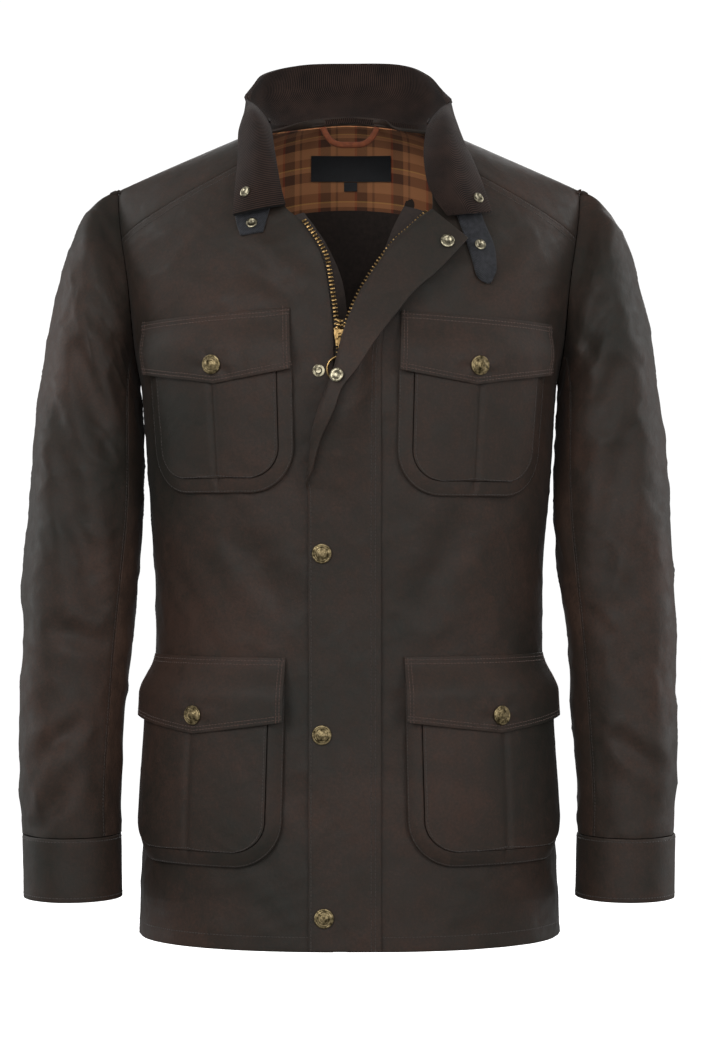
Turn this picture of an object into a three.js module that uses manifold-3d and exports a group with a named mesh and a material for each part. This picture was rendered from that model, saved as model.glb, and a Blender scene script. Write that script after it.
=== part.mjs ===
// Waxed cotton field jacket, filled out as if worn, with nobody inside.
// Millimetres. X runs to the wearer's left, the front faces minus Y, Z is up.
// The origin is midway between the shoulders, at the height where they meet the neck.
import * as THREE from 'three';
import { mergeVertices } from 'three/addons/utils/BufferGeometryUtils.js';
import Module from 'manifold-3d';

const wasm = await Module();
wasm.setup();

// Driving sizes of the body
const HEM = -746;
const ARMPIT = -235;
const NECK_HALF = 95;
const CHEST_HALF = 195;
const SHOULDER_HALF = 217;
const CHEST_FRONT = 136;
const CHEST_BACK = 126;
const SHOULDER_SLOPE = 0.4465;
const RIDGE_ROUND = 40;
const SQUARENESS = 2.4;
const FRONT_CURVE = 1.8;
const BACK_CURVE = 2.2;
const NAPE_CURVE = 2;
const ARMHOLE_SCOOP = 22;

// Cloth and seams
const SHELL = 2;
const HALF_SEAM = 0.25;
const RIDGE_GAP = 0.3;
const RIDGE_FOOT = -80;
const LINING = 1.2;
const FLAP_CLOTH = 2.2;

// Half width and depth of the body at each level from hem to armpit
const TORSO = [
  { level: -746, half: 197, front: 146, back: 128 },
  { level: -640, half: 191, front: 140, back: 120 },
  { level: -540, half: 184, front: 134, back: 110 },
  { level: -440, half: 181, front: 131, back: 106 },
  { level: -340, half: 187, front: 134, back: 116 },
  { level: ARMPIT, half: CHEST_HALF, front: CHEST_FRONT, back: CHEST_BACK },
];

// Rings of the left sleeve from armhole to cuff: outer and inner point, half depth, and how far forward
const SLEEVE = [
  { station: 0, outX: 217, outZ: -52.6, inX: 195, inZ: -235, depth: 52, midY: 0 },
  { station: 0.05, outX: 230, outZ: -57, inX: 196.3, inZ: -239, depth: 57, midY: 0 },
  { station: 0.1, outX: 240, outZ: -66, inX: 196.5, inZ: -243, depth: 61, midY: 0 },
  { station: 0.16, outX: 252, outZ: -83, inX: 196.3, inZ: -249, depth: 64, midY: -1 },
  { station: 0.23, outX: 264, outZ: -109, inX: 195.6, inZ: -257, depth: 66, midY: -1 },
  { station: 0.31, outX: 274, outZ: -146, inX: 194.4, inZ: -270, depth: 67, midY: -2 },
  { station: 0.4, outX: 284, outZ: -196, inX: 192.8, inZ: -291, depth: 67, midY: -4 },
  { station: 0.49, outX: 291.5, outZ: -253, inX: 191, inZ: -322, depth: 66, midY: -8 },
  { station: 0.58, outX: 297.5, outZ: -320, inX: 191.2, inZ: -362, depth: 63, midY: -14 },
  { station: 0.68, outX: 301.5, outZ: -390, inX: 196.5, inZ: -420, depth: 60, midY: -21 },
  { station: 0.78, outX: 303.5, outZ: -465, inX: 203, inZ: -484, depth: 57, midY: -28 },
  { station: 0.88, outX: 304, outZ: -545, inX: 208.5, inZ: -556, depth: 54, midY: -35 },
  { station: 0.96, outX: 302.8, outZ: -617, inX: 212, inZ: -619, depth: 52.5, midY: -39.5 },
  { station: 1, outX: 301, outZ: -651, inX: 211.5, inZ: -651, depth: 52, midY: -41 },
];
const WRIST = SLEEVE[SLEEVE.length - 1];
const CUFF_DROP = 58;
const SLEEVE_BLEND = 0.16;

// The largest folds: a trough from one point to another, its depth and its half width.
// Side is -1 on the wearer's right, 1 on the left; a negative depth is a ridge.
const SLEEVE_FOLDS = [
  { side: -1, face: -1, x: 247, z: -208, toX: 222, toZ: -290, depth: 5, width: 11 },
  { side: -1, face: -1, x: 270, z: -272, toX: 232, toZ: -438, depth: 5, width: 12 },
  { side: -1, face: -1, x: 234, z: -165, toX: 203, toZ: -209, depth: 5, width: 10 },
  { side: -1, face: -1, x: 283, z: -578, toX: 248, toZ: -548, depth: 4, width: 9 },
  { side: -1, face: -1, x: 281, z: -640, toX: 254, toZ: -602, depth: 4, width: 9 },
  { side: -1, face: -1, x: 266, z: -462, toX: 228, toZ: -472, depth: 4, width: 10 },
  { side: 1, face: -1, x: 233, z: -165, toX: 206, toZ: -230, depth: 5, width: 11 },
  { side: 1, face: -1, x: 246, z: -224, toX: 231, toZ: -272, depth: 5, width: 11 },
  { side: 1, face: -1, x: 254, z: -281, toX: 230, toZ: -406, depth: 5, width: 12 },
  { side: 1, face: -1, x: 282, z: -590, toX: 245, toZ: -560, depth: 4, width: 9 },
  { side: -1, face: 1, x: 262, z: -330, toX: 205, toZ: -372, depth: 5, width: 12 },
  { side: -1, face: 1, x: 281, z: -420, toX: 222, toZ: -440, depth: 4, width: 11 },
  { side: -1, face: 1, x: 268, z: -190, toX: 212, toZ: -246, depth: 4, width: 12 },
  { side: 1, face: 1, x: 266, z: -345, toX: 207, toZ: -380, depth: 5, width: 12 },
  { side: 1, face: 1, x: 278, z: -436, toX: 225, toZ: -462, depth: 4, width: 11 },
  { side: 1, face: 1, x: 262, z: -180, toX: 214, toZ: -240, depth: 4, width: 12 },
];
const BODY_FOLDS = [
  { face: -1, x: -168, z: -118, toX: -92, toZ: -148, depth: 3, width: 12 },
  { face: -1, x: -120, z: -112, toX: -52, toZ: -160, depth: 3.5, width: 11 },
  { face: -1, x: 150, z: -108, toX: 112, toZ: -160, depth: 3, width: 11 },
  { face: -1, x: -100, z: -372, toX: -60, toZ: -440, depth: 3, width: 14 },
  { face: -1, x: 96, z: -368, toX: 66, toZ: -440, depth: 3, width: 14 },
  { face: 1, x: -178, z: -150, toX: -128, toZ: -300, depth: 5, width: 15 },
  { face: 1, x: 176, z: -140, toX: 126, toZ: -290, depth: 5, width: 15 },
  { face: 1, x: -110, z: -420, toX: 10, toZ: -404, depth: 4, width: 16 },
  { face: 1, x: 20, z: -452, toX: 130, toZ: -430, depth: 4, width: 16 },
  { face: 1, x: -60, z: -500, toX: -48, toZ: -700, depth: 4, width: 20 },
  { face: 1, x: 72, z: -520, toX: 66, toZ: -710, depth: 4, width: 20 },
];

// Opened front edges and neckline, from the slider up over the shoulder
const ZIP_X = -8;
const EDGE_RIGHT = [
  { x: -14, z: -196 },
  { x: -17, z: -167 },
  { x: -21, z: -140 },
  { x: -26, z: -122 },
  { x: -37, z: -103 },
  { x: -47, z: -89 },
  { x: -58, z: -78 },
  { x: -65, z: -52 },
  { x: -72, z: -22 },
  { x: -78, z: 0 },
];
const EDGE_LEFT = [
  { x: -2, z: -196 },
  { x: 9, z: -167 },
  { x: 25, z: -140 },
  { x: 45, z: -112 },
  { x: 62, z: -96 },
  { x: 75, z: -82 },
  { x: 76, z: -60 },
  { x: 76, z: -30 },
  { x: 78, z: 0 },
];
const NECK_X = 79;
const NAPE_Y = 71.3;
const STRIP_AT_NECK = -28;
const STRIP_AT_ARM = -57;

// Steps up the armhole, from armpit (0) to shoulder point (1), shared by body and sleeve
const ARM_STEPS = [0, 0.05, 0.117, 0.26, 0.42, 0.58, 0.757, 0.87, 0.93, 0.972, 0.994, 0.99999];
const STRIP_STEP = 6;
const UNDER_FRONT = 2;
const UNDER_BACK = 3;

// Small number helpers
const clamp = (value, low, high) => Math.min(Math.max(value, low), high);
const mix = (from, to, share) => from + (to - from) * share;
const radians = THREE.MathUtils.degToRad;
const vec = (x, y, z) => new THREE.Vector3(x, y, z);

function smooth(share) {
  const t = clamp(share, 0, 1);
  return t * t * (3 - 2 * t);
}

// One row of a table at any place between its rows, by a smooth curve through them
function rowAt(rows, key, wanted) {
  const last = rows.length - 1;
  const place = clamp(wanted, rows[0][key], rows[last][key]);
  let k = 0;
  while (k < last - 1 && place > rows[k + 1][key]) k += 1;
  const here = rows[k];
  const next = rows[k + 1];
  const before = rows[Math.max(k - 1, 0)];
  const after = rows[Math.min(k + 2, last)];
  const step = next[key] - here[key];
  const t = (place - here[key]) / step;
  const result = {};
  for (const name of Object.keys(here)) {
    const leave = ((next[name] - before[name]) / (next[key] - before[key])) * step;
    const arrive = ((after[name] - here[name]) / (after[key] - here[key])) * step;
    const t2 = t * t;
    const t3 = t2 * t;
    const ends = (2 * t3 - 3 * t2 + 1) * here[name] + (3 * t2 - 2 * t3) * next[name];
    result[name] = ends + (t3 - 2 * t2 + t) * leave + (t3 - t2) * arrive;
  }
  return result;
}

// Gives rows a running count, so that a path's table can be read at any place along it
function counted(rows) {
  return rows.map((row, index) => ({ ...row, at: index }));
}

// Depth of the folds at a point of one face, seen from the front
function foldDepth(folds, face, side, x, z) {
  let depth = 0;
  for (const fold of folds) {
    if (fold.face !== face || (fold.side && fold.side !== side)) continue;
    const run = fold.toX - fold.x;
    const drop = fold.toZ - fold.z;
    const share = ((x - fold.x) * run + (z - fold.z) * drop) / (run * run + drop * drop);
    const along = clamp(share, 0, 1);
    const away = Math.hypot(x - fold.x - run * along, z - fold.z - drop * along);
    const trough = Math.exp(-((away / fold.width) ** 2));
    const rim = 0.45 * Math.exp(-(((away - 1.7 * fold.width) / fold.width) ** 2));
    depth += fold.depth * (0.55 + 0.45 * Math.sin(Math.PI * along)) * (trough - rim);
  }
  return depth;
}

// The body's outer face. Level follows the cloth up from the hem to the shoulder ridge at 0,
// and turn goes round it in degrees: 0 centre front, 90 the left side, 180 centre back.
function ring(level) {
  if (level <= ARMPIT) return { ...rowAt(TORSO, 'level', level), climb: 0 };
  const climb = Math.min((level - ARMPIT) / -ARMPIT, 1);
  const widen = Math.sin((Math.min(climb * 1.35, 1) * Math.PI) / 2);
  const half = mix(CHEST_HALF, SHOULDER_HALF, widen);
  const front = CHEST_FRONT * Math.max(1 - climb ** FRONT_CURVE, 0) ** (1 / FRONT_CURVE);
  return { half, front, back: CHEST_BACK, climb };
}

function slopeDrop(x) {
  return SHOULDER_SLOPE * (Math.hypot(x, RIDGE_ROUND) - Math.hypot(NECK_HALF, RIDGE_ROUND));
}

function torso(level, turn) {
  const { half, front, back, climb } = ring(level);
  const s = Math.sin(radians(turn));
  const c = Math.cos(radians(turn));
  const reach = (Math.abs(s) ** SQUARENESS + Math.abs(c) ** SQUARENESS) ** (-1 / SQUARENESS);
  let depth = c > 0 ? front : back;
  if (c <= 0 && climb > 0) {
    const curve = BACK_CURVE + NAPE_CURVE * c * c;
    depth = back * Math.max(1 - climb ** curve, 0) ** (1 / curve);
  }
  const point = vec(half * reach * s, -depth * reach * c, 0);
  point.z = level - smooth(climb) * slopeDrop(point.x);
  const face = c > 0 ? -1 : 1;
  const sink = foldDepth(BODY_FOLDS, face, 0, point.x, point.z) * Math.abs(c) ** 0.5;
  const out = vec(point.x / (half * half), point.y / (back * back), 0).normalize();
  return point.addScaledVector(out, -sink);
}

function torsoNormal(level, turn) {
  const low = Math.max(level - 1, HEM);
  const high = Math.min(level + 1, -0.01);
  const round = torso(level, turn + 0.5).sub(torso(level, turn - 0.5));
  const up = torso(high, turn).sub(torso(low, turn));
  return round.cross(up).normalize();
}

const onBody = (level, turn, lift) => torso(level, turn).addScaledVector(torsoNormal(level, turn), lift);

// Bisects for the place where a rising function meets a value
function solve(low, high, wanted, rising) {
  let a = low;
  let b = high;
  for (let pass = 0; pass < 36; pass += 1) {
    const middle = (a + b) / 2;
    if (rising(middle) < wanted) a = middle;
    else b = middle;
  }
  return (a + b) / 2;
}

function levelAt(x, z) {
  if (z < ARMPIT) return z;
  return solve(ARMPIT - 40, 0, z, (level) => level - smooth(ring(level).climb) * slopeDrop(x));
}

function turnAt(x, level) {
  const { half } = ring(level);
  const turn = solve(0, 90, Math.abs(x), (angle) => {
    const s = Math.sin(radians(angle));
    const c = Math.cos(radians(angle));
    return half * s * (s ** SQUARENESS + c ** SQUARENESS) ** (-1 / SQUARENESS);
  });
  return Math.sign(x) * turn;
}

// A point on the front or back, found by how it looks from straight ahead
function onFront(x, z, lift = 0) {
  const level = levelAt(x, z);
  return onBody(level, turnAt(x, level), lift);
}

function onBack(x, z, lift = 0) {
  const level = levelAt(x, z);
  return onBody(level, 180 - turnAt(x, level), lift);
}

// Armhole: the turn, from 90 at armpit and shoulder point, scooped towards the chest or back
const armTurn = (climb, scoop) => 90 - scoop * Math.sin(Math.PI * clamp(climb, 0, 1)) ** 0.7;

function armhole(climb, face) {
  return torso(mix(ARMPIT, 0, climb), armTurn(climb, -face * ARMHOLE_SCOOP));
}

// The left sleeve's outer face. Climb and face give the line that leaves the armhole there.
function sleeve(side, station, climb, face) {
  const row = rowAt(SLEEVE, 'station', station);
  const c = 2 * climb - 1;
  const s = Math.sqrt(Math.max(1 - c * c, 0)) * -face;
  const oval = (r) => vec(
    (r.outX + r.inX) / 2 + ((r.outX - r.inX) / 2) * c,
    r.midY - r.depth * s,
    (r.outZ + r.inZ) / 2 + ((r.outZ - r.inZ) / 2) * c,
  );
  const point = oval(row);
  const hold = smooth(1 - station / SLEEVE_BLEND);
  point.addScaledVector(armhole(climb, face).sub(oval(SLEEVE[0])), hold);
  const flatness = Math.abs(s) ** 0.5 * (1 - hold);
  point.y -= face * flatness * foldDepth(SLEEVE_FOLDS, face, side, point.x, point.z);
  point.x *= side;
  return point;
}

// Grids of points

function span(from, to, count) {
  return Array.from({ length: count }, (_, k) => mix(from, to, k / (count - 1)));
}

function gridNormals(grid, round) {
  const rows = grid.length;
  const columns = grid[0].length;
  return grid.map((row, i) => row.map((_, j) => {
    const left = round ? (j + columns - 1) % columns : Math.max(j - 1, 0);
    const right = round ? (j + 1) % columns : Math.min(j + 1, columns - 1);
    const across = row[right].clone().sub(row[left]);
    const up = grid[Math.min(i + 1, rows - 1)][j].clone().sub(grid[Math.max(i - 1, 0)][j]);
    return across.cross(up).normalize();
  }));
}

// Pulls chosen edges of a grid back from the seam by half the gap
function trim(grid, edges, gap = HALF_SEAM) {
  const last = grid.length - 1;
  const end = grid[0].length - 1;
  const pull = (point, towards) => point.clone().add(towards.clone().sub(point).setLength(gap));
  const out = grid.map((row) => row.map((point) => point.clone()));
  for (let i = 0; i <= last; i += 1) {
    if (edges.includes('first')) out[i][0] = pull(out[i][0], grid[i][1]);
    if (edges.includes('last')) out[i][end] = pull(out[i][end], grid[i][end - 1]);
  }
  const copy = out.map((row) => row.map((point) => point.clone()));
  for (let j = 0; j <= end; j += 1) {
    if (edges.includes('bottom')) out[0][j] = pull(copy[0][j], copy[1][j]);
    if (edges.includes('top')) out[last][j] = pull(copy[last][j], copy[last - 1][j]);
  }
  return out;
}

// A wall of cloth: the grid is its outer face and the inner face lies behind it.
// Round grids join their last column to the first. Faces are turned outwards at the end.
function wall(grid, thick, { round = false, leans = null } = {}) {
  const normals = leans || gridNormals(grid, round);
  const rows = grid.length;
  const columns = grid[0].length;
  const points = [];
  for (const behind of [0, thick]) {
    grid.forEach((row, i) => row.forEach((point, j) => {
      points.push(point.clone().addScaledVector(normals[i][j], -behind));
    }));
  }
  const outer = (i, j) => i * columns + (j % columns);
  const inner = (i, j) => rows * columns + outer(i, j);
  const faces = [];
  const quad = (a, b, c, d) => faces.push(a, b, c, a, c, d);
  const steps = round ? columns : columns - 1;
  for (let i = 0; i < rows - 1; i += 1) {
    for (let j = 0; j < steps; j += 1) {
      quad(outer(i, j), outer(i, j + 1), outer(i + 1, j + 1), outer(i + 1, j));
      quad(inner(i, j), inner(i + 1, j), inner(i + 1, j + 1), inner(i, j + 1));
    }
  }
  for (let j = 0; j < steps; j += 1) {
    quad(inner(0, j), inner(0, j + 1), outer(0, j + 1), outer(0, j));
    quad(outer(rows - 1, j), outer(rows - 1, j + 1), inner(rows - 1, j + 1), inner(rows - 1, j));
  }
  if (!round) {
    const end = columns - 1;
    for (let i = 0; i < rows - 1; i += 1) {
      quad(outer(i, 0), outer(i + 1, 0), inner(i + 1, 0), inner(i, 0));
      quad(inner(i, end), inner(i + 1, end), outer(i + 1, end), outer(i, end));
    }
  }
  return solid(points, faces);
}

function solid(points, faces) {
  let volume = 0;
  for (let k = 0; k < faces.length; k += 3) {
    const [a, b, c] = [points[faces[k]], points[faces[k + 1]], points[faces[k + 2]]];
    volume += a.dot(b.clone().cross(c));
  }
  if (volume < 0) faces.reverse();
  const geometry = new THREE.BufferGeometry();
  geometry.setAttribute('position', new THREE.Float32BufferAttribute(points.flatMap((p) => p.toArray()), 3));
  geometry.setIndex(faces);
  geometry.computeVertexNormals();
  return geometry;
}

// Materials
function finish(color, roughness, metalness = 0) {
  return new THREE.MeshStandardMaterial({ color, roughness, metalness });
}
const waxed = finish('#3a322e', 0.55);
const corduroy = finish('#2c2320', 0.9);
const wool = finish('#30323a', 0.95);
const twill = finish('#33261f', 0.8);
const check = finish('#8a5a2c', 0.85);
const brass = finish('#8a7a50', 0.35, 0.9);

const jacket = new THREE.Group();

function piece(name, geometry, material) {
  const mesh = new THREE.Mesh(geometry, material.clone());
  mesh.name = name;
  jacket.add(mesh);
  return mesh;
}

// Front panels

// The x of the front edge and neckline at a level
function edgeTable(edge) {
  const rows = edge.map(({ x, z }) => ({ level: levelAt(x, z), x }));
  return [{ level: HEM, x: edge[0].x }, { level: rows[0].level - 30, x: edge[0].x }, ...rows];
}

const armLevel = (step) => mix(ARMPIT, 0, ARM_STEPS[step]);

function outerTurn(level, scoop) {
  return level <= ARMPIT ? 90 : armTurn((level - ARMPIT) / -ARMPIT, scoop);
}

function bodyPoint(table, side, level, share) {
  const inner = turnAt(rowAt(table, 'level', level).x, level);
  return torso(level, mix(inner, side * outerTurn(level, ARMHOLE_SCOOP), share));
}

// Rows of shares from the centre edge to the side, always in the order that turn rises
const sharesFor = (side, count) => (side > 0 ? span(0, 1, count) : span(1, 0, count));

function addFront(side, edge, name) {
  const table = edgeTable(edge);
  const below = span(HEM, ARMPIT, 15);
  const above = ARM_STEPS.slice(1, STRIP_STEP + 1).map((_, k) => armLevel(k + 1));
  const levels = [...below, ...above];
  const shares = sharesFor(side, 9);
  const grid = levels.map((level) => shares.map((share) => {
    const top = mix(STRIP_AT_NECK, STRIP_AT_ARM, share);
    const fitted = HEM + ((level - HEM) * (top - HEM)) / (STRIP_AT_ARM - HEM);
    return bodyPoint(table, side, fitted, share);
  }));
  piece(name, wall(trim(grid, ['top', side > 0 ? 'last' : 'first']), SHELL), waxed);
}

// Near the shoulder ridge both walls thicken straight down, so that they meet without crossing
function ridgeLeans(grid) {
  const leans = gridNormals(grid, false);
  grid.forEach((row, i) => row.forEach((point, j) => {
    if (Math.abs(point.x) < NECK_X - 1 || point.z < RIDGE_FOOT) return;
    leans[i][j].y *= smooth((Math.abs(point.y) - RIDGE_GAP) / (2 * SHELL));
    leans[i][j].normalize();
  }));
  return leans;
}

function partAtRidge(grid, face) {
  for (const point of grid[grid.length - 1]) point.y = face * Math.max(Math.abs(point.y), RIDGE_GAP);
  return grid;
}

function addShoulder(side, edge, name) {
  const table = edgeTable(edge);
  const levels = ARM_STEPS.slice(STRIP_STEP).map((_, k) => armLevel(k + STRIP_STEP));
  const shares = sharesFor(side, 9);
  const grid = levels.map((level) => shares.map((share) => {
    const lift = (1 - share) * (STRIP_AT_NECK - STRIP_AT_ARM);
    const fitted = level + (lift * level) / STRIP_AT_ARM;
    return bodyPoint(table, side, Math.min(fitted, armLevel(ARM_STEPS.length - 1)), share);
  }));
  const cut = partAtRidge(trim(grid, ['bottom', 'top', side > 0 ? 'last' : 'first']), -1);
  piece(name, wall(cut, SHELL, { leans: ridgeLeans(cut) }), waxed);
}

addFront(-1, EDGE_RIGHT, 'front_right');
addFront(1, EDGE_LEFT, 'front_left');
addShoulder(-1, EDGE_RIGHT, 'shoulder_right');
addShoulder(1, EDGE_LEFT, 'shoulder_left');

const BACK_ROWS_BELOW = 12;
const NECK_SIDE_X = 70;

// The share of the back's width at which its top edge is a given distance from the middle
function shareAtTop(x) {
  return solve(0, 1, x, (share) => torso(-1, 180 - share * (180 - outerTurn(-1, -ARMHOLE_SCOOP))).x);
}

const BACK_SHARES = [1 / 7, shareAtTop(NECK_SIDE_X), shareAtTop(NECK_X), 0.42, 4 / 7, 5 / 7, 6 / 7, 1];

// Back panel, whole from side seam to side seam, scooped round the nape at its top
function napeLevel(x) {
  const share = clamp(1 - Math.abs(x) / NECK_X, 0, 1);
  const depth = NAPE_Y * Math.sqrt(1 - (1 - share) ** 2);
  const curve = BACK_CURVE + NAPE_CURVE * 0.9;
  return mix(ARMPIT, 0, Math.min(1 - (depth / CHEST_BACK) ** curve, 0.9999) ** (1 / curve));
}

function addBack() {
  const below = span(HEM, ARMPIT, BACK_ROWS_BELOW);
  const above = ARM_STEPS.slice(1).map((_, k) => armLevel(k + 1));
  const columns = [...BACK_SHARES.map((share) => -share).reverse(), 0, ...BACK_SHARES];
  const grid = [...below, ...above].map((level) => columns.map((share) => {
    const turnAcross = (at) => 180 - share * (180 - outerTurn(at, -ARMHOLE_SCOOP));
    const topX = torso(-1, turnAcross(-1)).x;
    const ceiling = Math.abs(topX) < NECK_X - 0.5 ? napeLevel(topX) : -0.1;
    const fitted = level <= ARMPIT ? level : mix(ARMPIT, ceiling, (level - ARMPIT) / -ARMPIT);
    return torso(fitted, turnAcross(Math.abs(share) === 1 ? level : fitted));
  }).reverse());
  const cut = trim(grid, ['first', 'last', 'top']);
  for (const point of cut[cut.length - 1]) {
    if (Math.abs(point.x) > NECK_X - 1) point.set(point.x, RIDGE_GAP, -slopeDrop(point.x));
  }
  const leans = ridgeLeans(cut);
  piece('back', wall(cut, SHELL, { leans }), waxed);
  return { grid: cut, leans };
}
const back = addBack();

// Sleeves and cuffs
const SLEEVE_ROWS = [0, 0.04, 0.09, 0.145, ...span(0.205, 1, 12)];

// The lines round a sleeve, as climb and face: up the front of the armhole and down its back
const steps = ARM_STEPS.length;
const SLEEVE_LINES = [
  ...ARM_STEPS.map((climb) => ({ climb, face: -1 })),
  ...ARM_STEPS.slice(1, -1).reverse().map((climb) => ({ climb, face: 1 })),
];
const BACK_SEAM = 2 * (steps - 1) - UNDER_BACK;

function addSleeve(side, word) {
  const lines = side > 0 ? SLEEVE_LINES : [...SLEEVE_LINES].reverse();
  const whole = [...SLEEVE_ROWS].reverse().map((station) => {
    return lines.map(({ climb, face }) => sleeve(side, station, climb, face));
  });
  const normals = gridNormals(whole, true);
  const armRow = whole.length - 1;
  lines.forEach(({ climb, face }, j) => {
    const turn = side * armTurn(climb, -face * ARMHOLE_SCOOP);
    const body = torsoNormal(mix(ARMPIT, -0.5, climb), turn);
    const ridge = smooth((Math.abs(whole[armRow][j].y) - RIDGE_GAP) / (2 * SHELL));
    if (whole[armRow][j].z > RIDGE_FOOT) body.setY(body.y * ridge).normalize();
    const agree = smooth((normals[armRow][j].dot(body) + 0.1) / 0.9);
    normals[armRow][j].lerp(body, agree).normalize();
  });
  const count = lines.length;
  const front = side > 0 ? UNDER_FRONT : count - 1 - UNDER_FRONT;
  const rear = side > 0 ? BACK_SEAM : count - 1 - BACK_SEAM;
  const walk = (from, to) => {
    const picked = [from];
    while (picked[picked.length - 1] !== to) picked.push((picked[picked.length - 1] + 1) % count);
    return picked;
  };
  const parts = side > 0
    ? { top: walk(front, rear), under: walk(rear, front) }
    : { top: walk(rear, front), under: walk(front, rear) };
  for (const [part, picked] of Object.entries(parts)) {
    const grid = trim(whole.map((row) => picked.map((j) => row[j])), ['first', 'last', 'top', 'bottom']);
    const leans = normals.map((row) => picked.map((j) => row[j]));
    piece(`sleeve_${word}_${part}`, wall(grid, SHELL, { leans }), waxed);
  }
  const cuff = [1, 0.5, 0].map((share) => lines.map(({ climb, face }) => {
    const point = sleeve(side, 1, climb, face);
    const middle = vec(side * (WRIST.outX + WRIST.inX) / 2, WRIST.midY, point.z);
    point.add(point.clone().sub(middle).setLength(0.8));
    point.x -= side * share * 1.5;
    point.z -= 0.4 + share * (CUFF_DROP - 0.4);
    point.y -= share * 3;
    return point;
  }));
  piece(`cuff_${word}`, wall(cuff, SHELL, { round: true }), waxed);
}
addSleeve(-1, 'right');
addSleeve(1, 'left');

// Corduroy collar: where it is sewn to the neck, its free edge, and how far it rolls between them
const COLLAR = counted([
  { neckX: -57, neckY: -104.5, neckZ: -77, edgeX: -105, edgeY: -101, edgeZ: -86, rollX: 0, rollY: -7, rollZ: 0 },
  { neckX: -62, neckY: -96, neckZ: -57, edgeX: -104, edgeY: -86, edgeZ: -61, rollX: 0, rollY: -9, rollZ: 3 },
  { neckX: -67, neckY: -76, neckZ: -28, edgeX: -102.5, edgeY: -58, edgeZ: -30, rollX: 0, rollY: -8, rollZ: 12 },
  { neckX: -71, neckY: -50, neckZ: -3, edgeX: -103, edgeY: -28, edgeZ: -1, rollX: -2, rollY: -4, rollZ: 17 },
  { neckX: -75, neckY: -16, neckZ: 10.5, edgeX: -100, edgeY: -3, edgeZ: 14, rollX: -4, rollY: 0, rollZ: 16 },
  { neckX: -76, neckY: 12, neckZ: 12, edgeX: -95, edgeY: 18, edgeZ: 34, rollX: -9, rollY: 2, rollZ: 12 },
  { neckX: -72, neckY: 38, neckZ: 12.5, edgeX: -87.5, edgeY: 40, edgeZ: 54, rollX: -9, rollY: 5, rollZ: 5 },
  { neckX: -61, neckY: 56, neckZ: 15, edgeX: -77, edgeY: 62, edgeZ: 68, rollX: -6, rollY: 6, rollZ: 2 },
  { neckX: -36, neckY: 67, neckZ: 20, edgeX: -46, edgeY: 86, edgeZ: 80, rollX: -2, rollY: 6, rollZ: 0 },
  { neckX: 0, neckY: 70.5, neckZ: 23.6, edgeX: 0, edgeY: 95, edgeZ: 83, rollX: 0, rollY: 5, rollZ: 0 },
  { neckX: 36, neckY: 67, neckZ: 20, edgeX: 49, edgeY: 84, edgeZ: 80, rollX: 2, rollY: 6, rollZ: 0 },
  { neckX: 61, neckY: 56, neckZ: 15, edgeX: 72, edgeY: 60, edgeZ: 66, rollX: 6, rollY: 6, rollZ: 2 },
  { neckX: 72, neckY: 38, neckZ: 12.5, edgeX: 84, edgeY: 36, edgeZ: 49, rollX: 9, rollY: 5, rollZ: 5 },
  { neckX: 76, neckY: 12, neckZ: 12, edgeX: 94, edgeY: 14, edgeZ: 28, rollX: 9, rollY: 2, rollZ: 12 },
  { neckX: 75, neckY: -16, neckZ: 10.5, edgeX: 101, edgeY: -6, edgeZ: 9, rollX: 4, rollY: 0, rollZ: 16 },
  { neckX: 71, neckY: -50, neckZ: -3, edgeX: 107, edgeY: -30, edgeZ: -10, rollX: 2, rollY: -4, rollZ: 17 },
  { neckX: 68, neckY: -76, neckZ: -28, edgeX: 115, edgeY: -56, edgeZ: -32, rollX: 0, rollY: -8, rollZ: 12 },
  { neckX: 71, neckY: -97, neckZ: -57, edgeX: 122, edgeY: -75, edgeZ: -54, rollX: 0, rollY: -8, rollZ: 3 },
  { neckX: 80, neckY: -105, neckZ: -76, edgeX: 127, edgeY: -86, edgeZ: -72, rollX: 0, rollY: -7, rollZ: 0 },
  { neckX: 89, neckY: -106, neckZ: -88, edgeX: 130, edgeY: -90, edgeZ: -82, rollX: 0, rollY: -5, rollZ: 0 },
]);
const COLLAR_THICK = 3;

function collarPoint(at, share) {
  const row = rowAt(COLLAR, 'at', at);
  const bend = 4 * share * (1 - share);
  return vec(
    mix(row.neckX, row.edgeX, share) + bend * row.rollX,
    mix(row.neckY, row.edgeY, share) + bend * row.rollY,
    mix(row.neckZ, row.edgeZ, share) + bend * row.rollZ,
  );
}

const collarGrid = span(0, COLLAR.length - 1, 27).map((at) => {
  return span(1, 0, 6).map((share) => collarPoint(at, share));
});
const collarNormals = gridNormals(collarGrid, false);
piece('collar', wall(collarGrid, COLLAR_THICK), corduroy);

// Facings and zip tapes of the opened neck: outer line on the cloth, inner line in the opening
const FACING_RIGHT = counted([
  { x: -19, z: -199, inX: -3, inZ: -199 },
  { x: -24, z: -167, inX: -2, inZ: -172 },
  { x: -28, z: -140, inX: -7, inZ: -140 },
  { x: -34, z: -120, inX: -20, inZ: -110 },
  { x: -44, z: -102, inX: -32, inZ: -91 },
  { x: -56, z: -88, inX: -43, inZ: -76 },
]);
const FACING_LEFT = counted([
  { x: 3, z: -199, inX: -2, inZ: -199 },
  { x: 15, z: -167, inX: 5.5, inZ: -170 },
  { x: 31, z: -141, inX: 20, inZ: -143 },
  { x: 51, z: -114, inX: 32, inZ: -116 },
  { x: 68, z: -98, inX: 42, inZ: -91 },
  { x: 80, z: -84, inX: 53, inZ: -69 },
]);
const TEETH_RIGHT = counted([
  { x: ZIP_X, z: HEM + 3 },
  { x: ZIP_X, z: -400 },
  { x: ZIP_X, z: -198 },
  { x: -11.5, z: -190 },
  { x: -14, z: -167 },
  { x: -18, z: -140 },
  { x: -22, z: -122 },
  { x: -33, z: -103 },
  { x: -43, z: -89 },
]);
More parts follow.
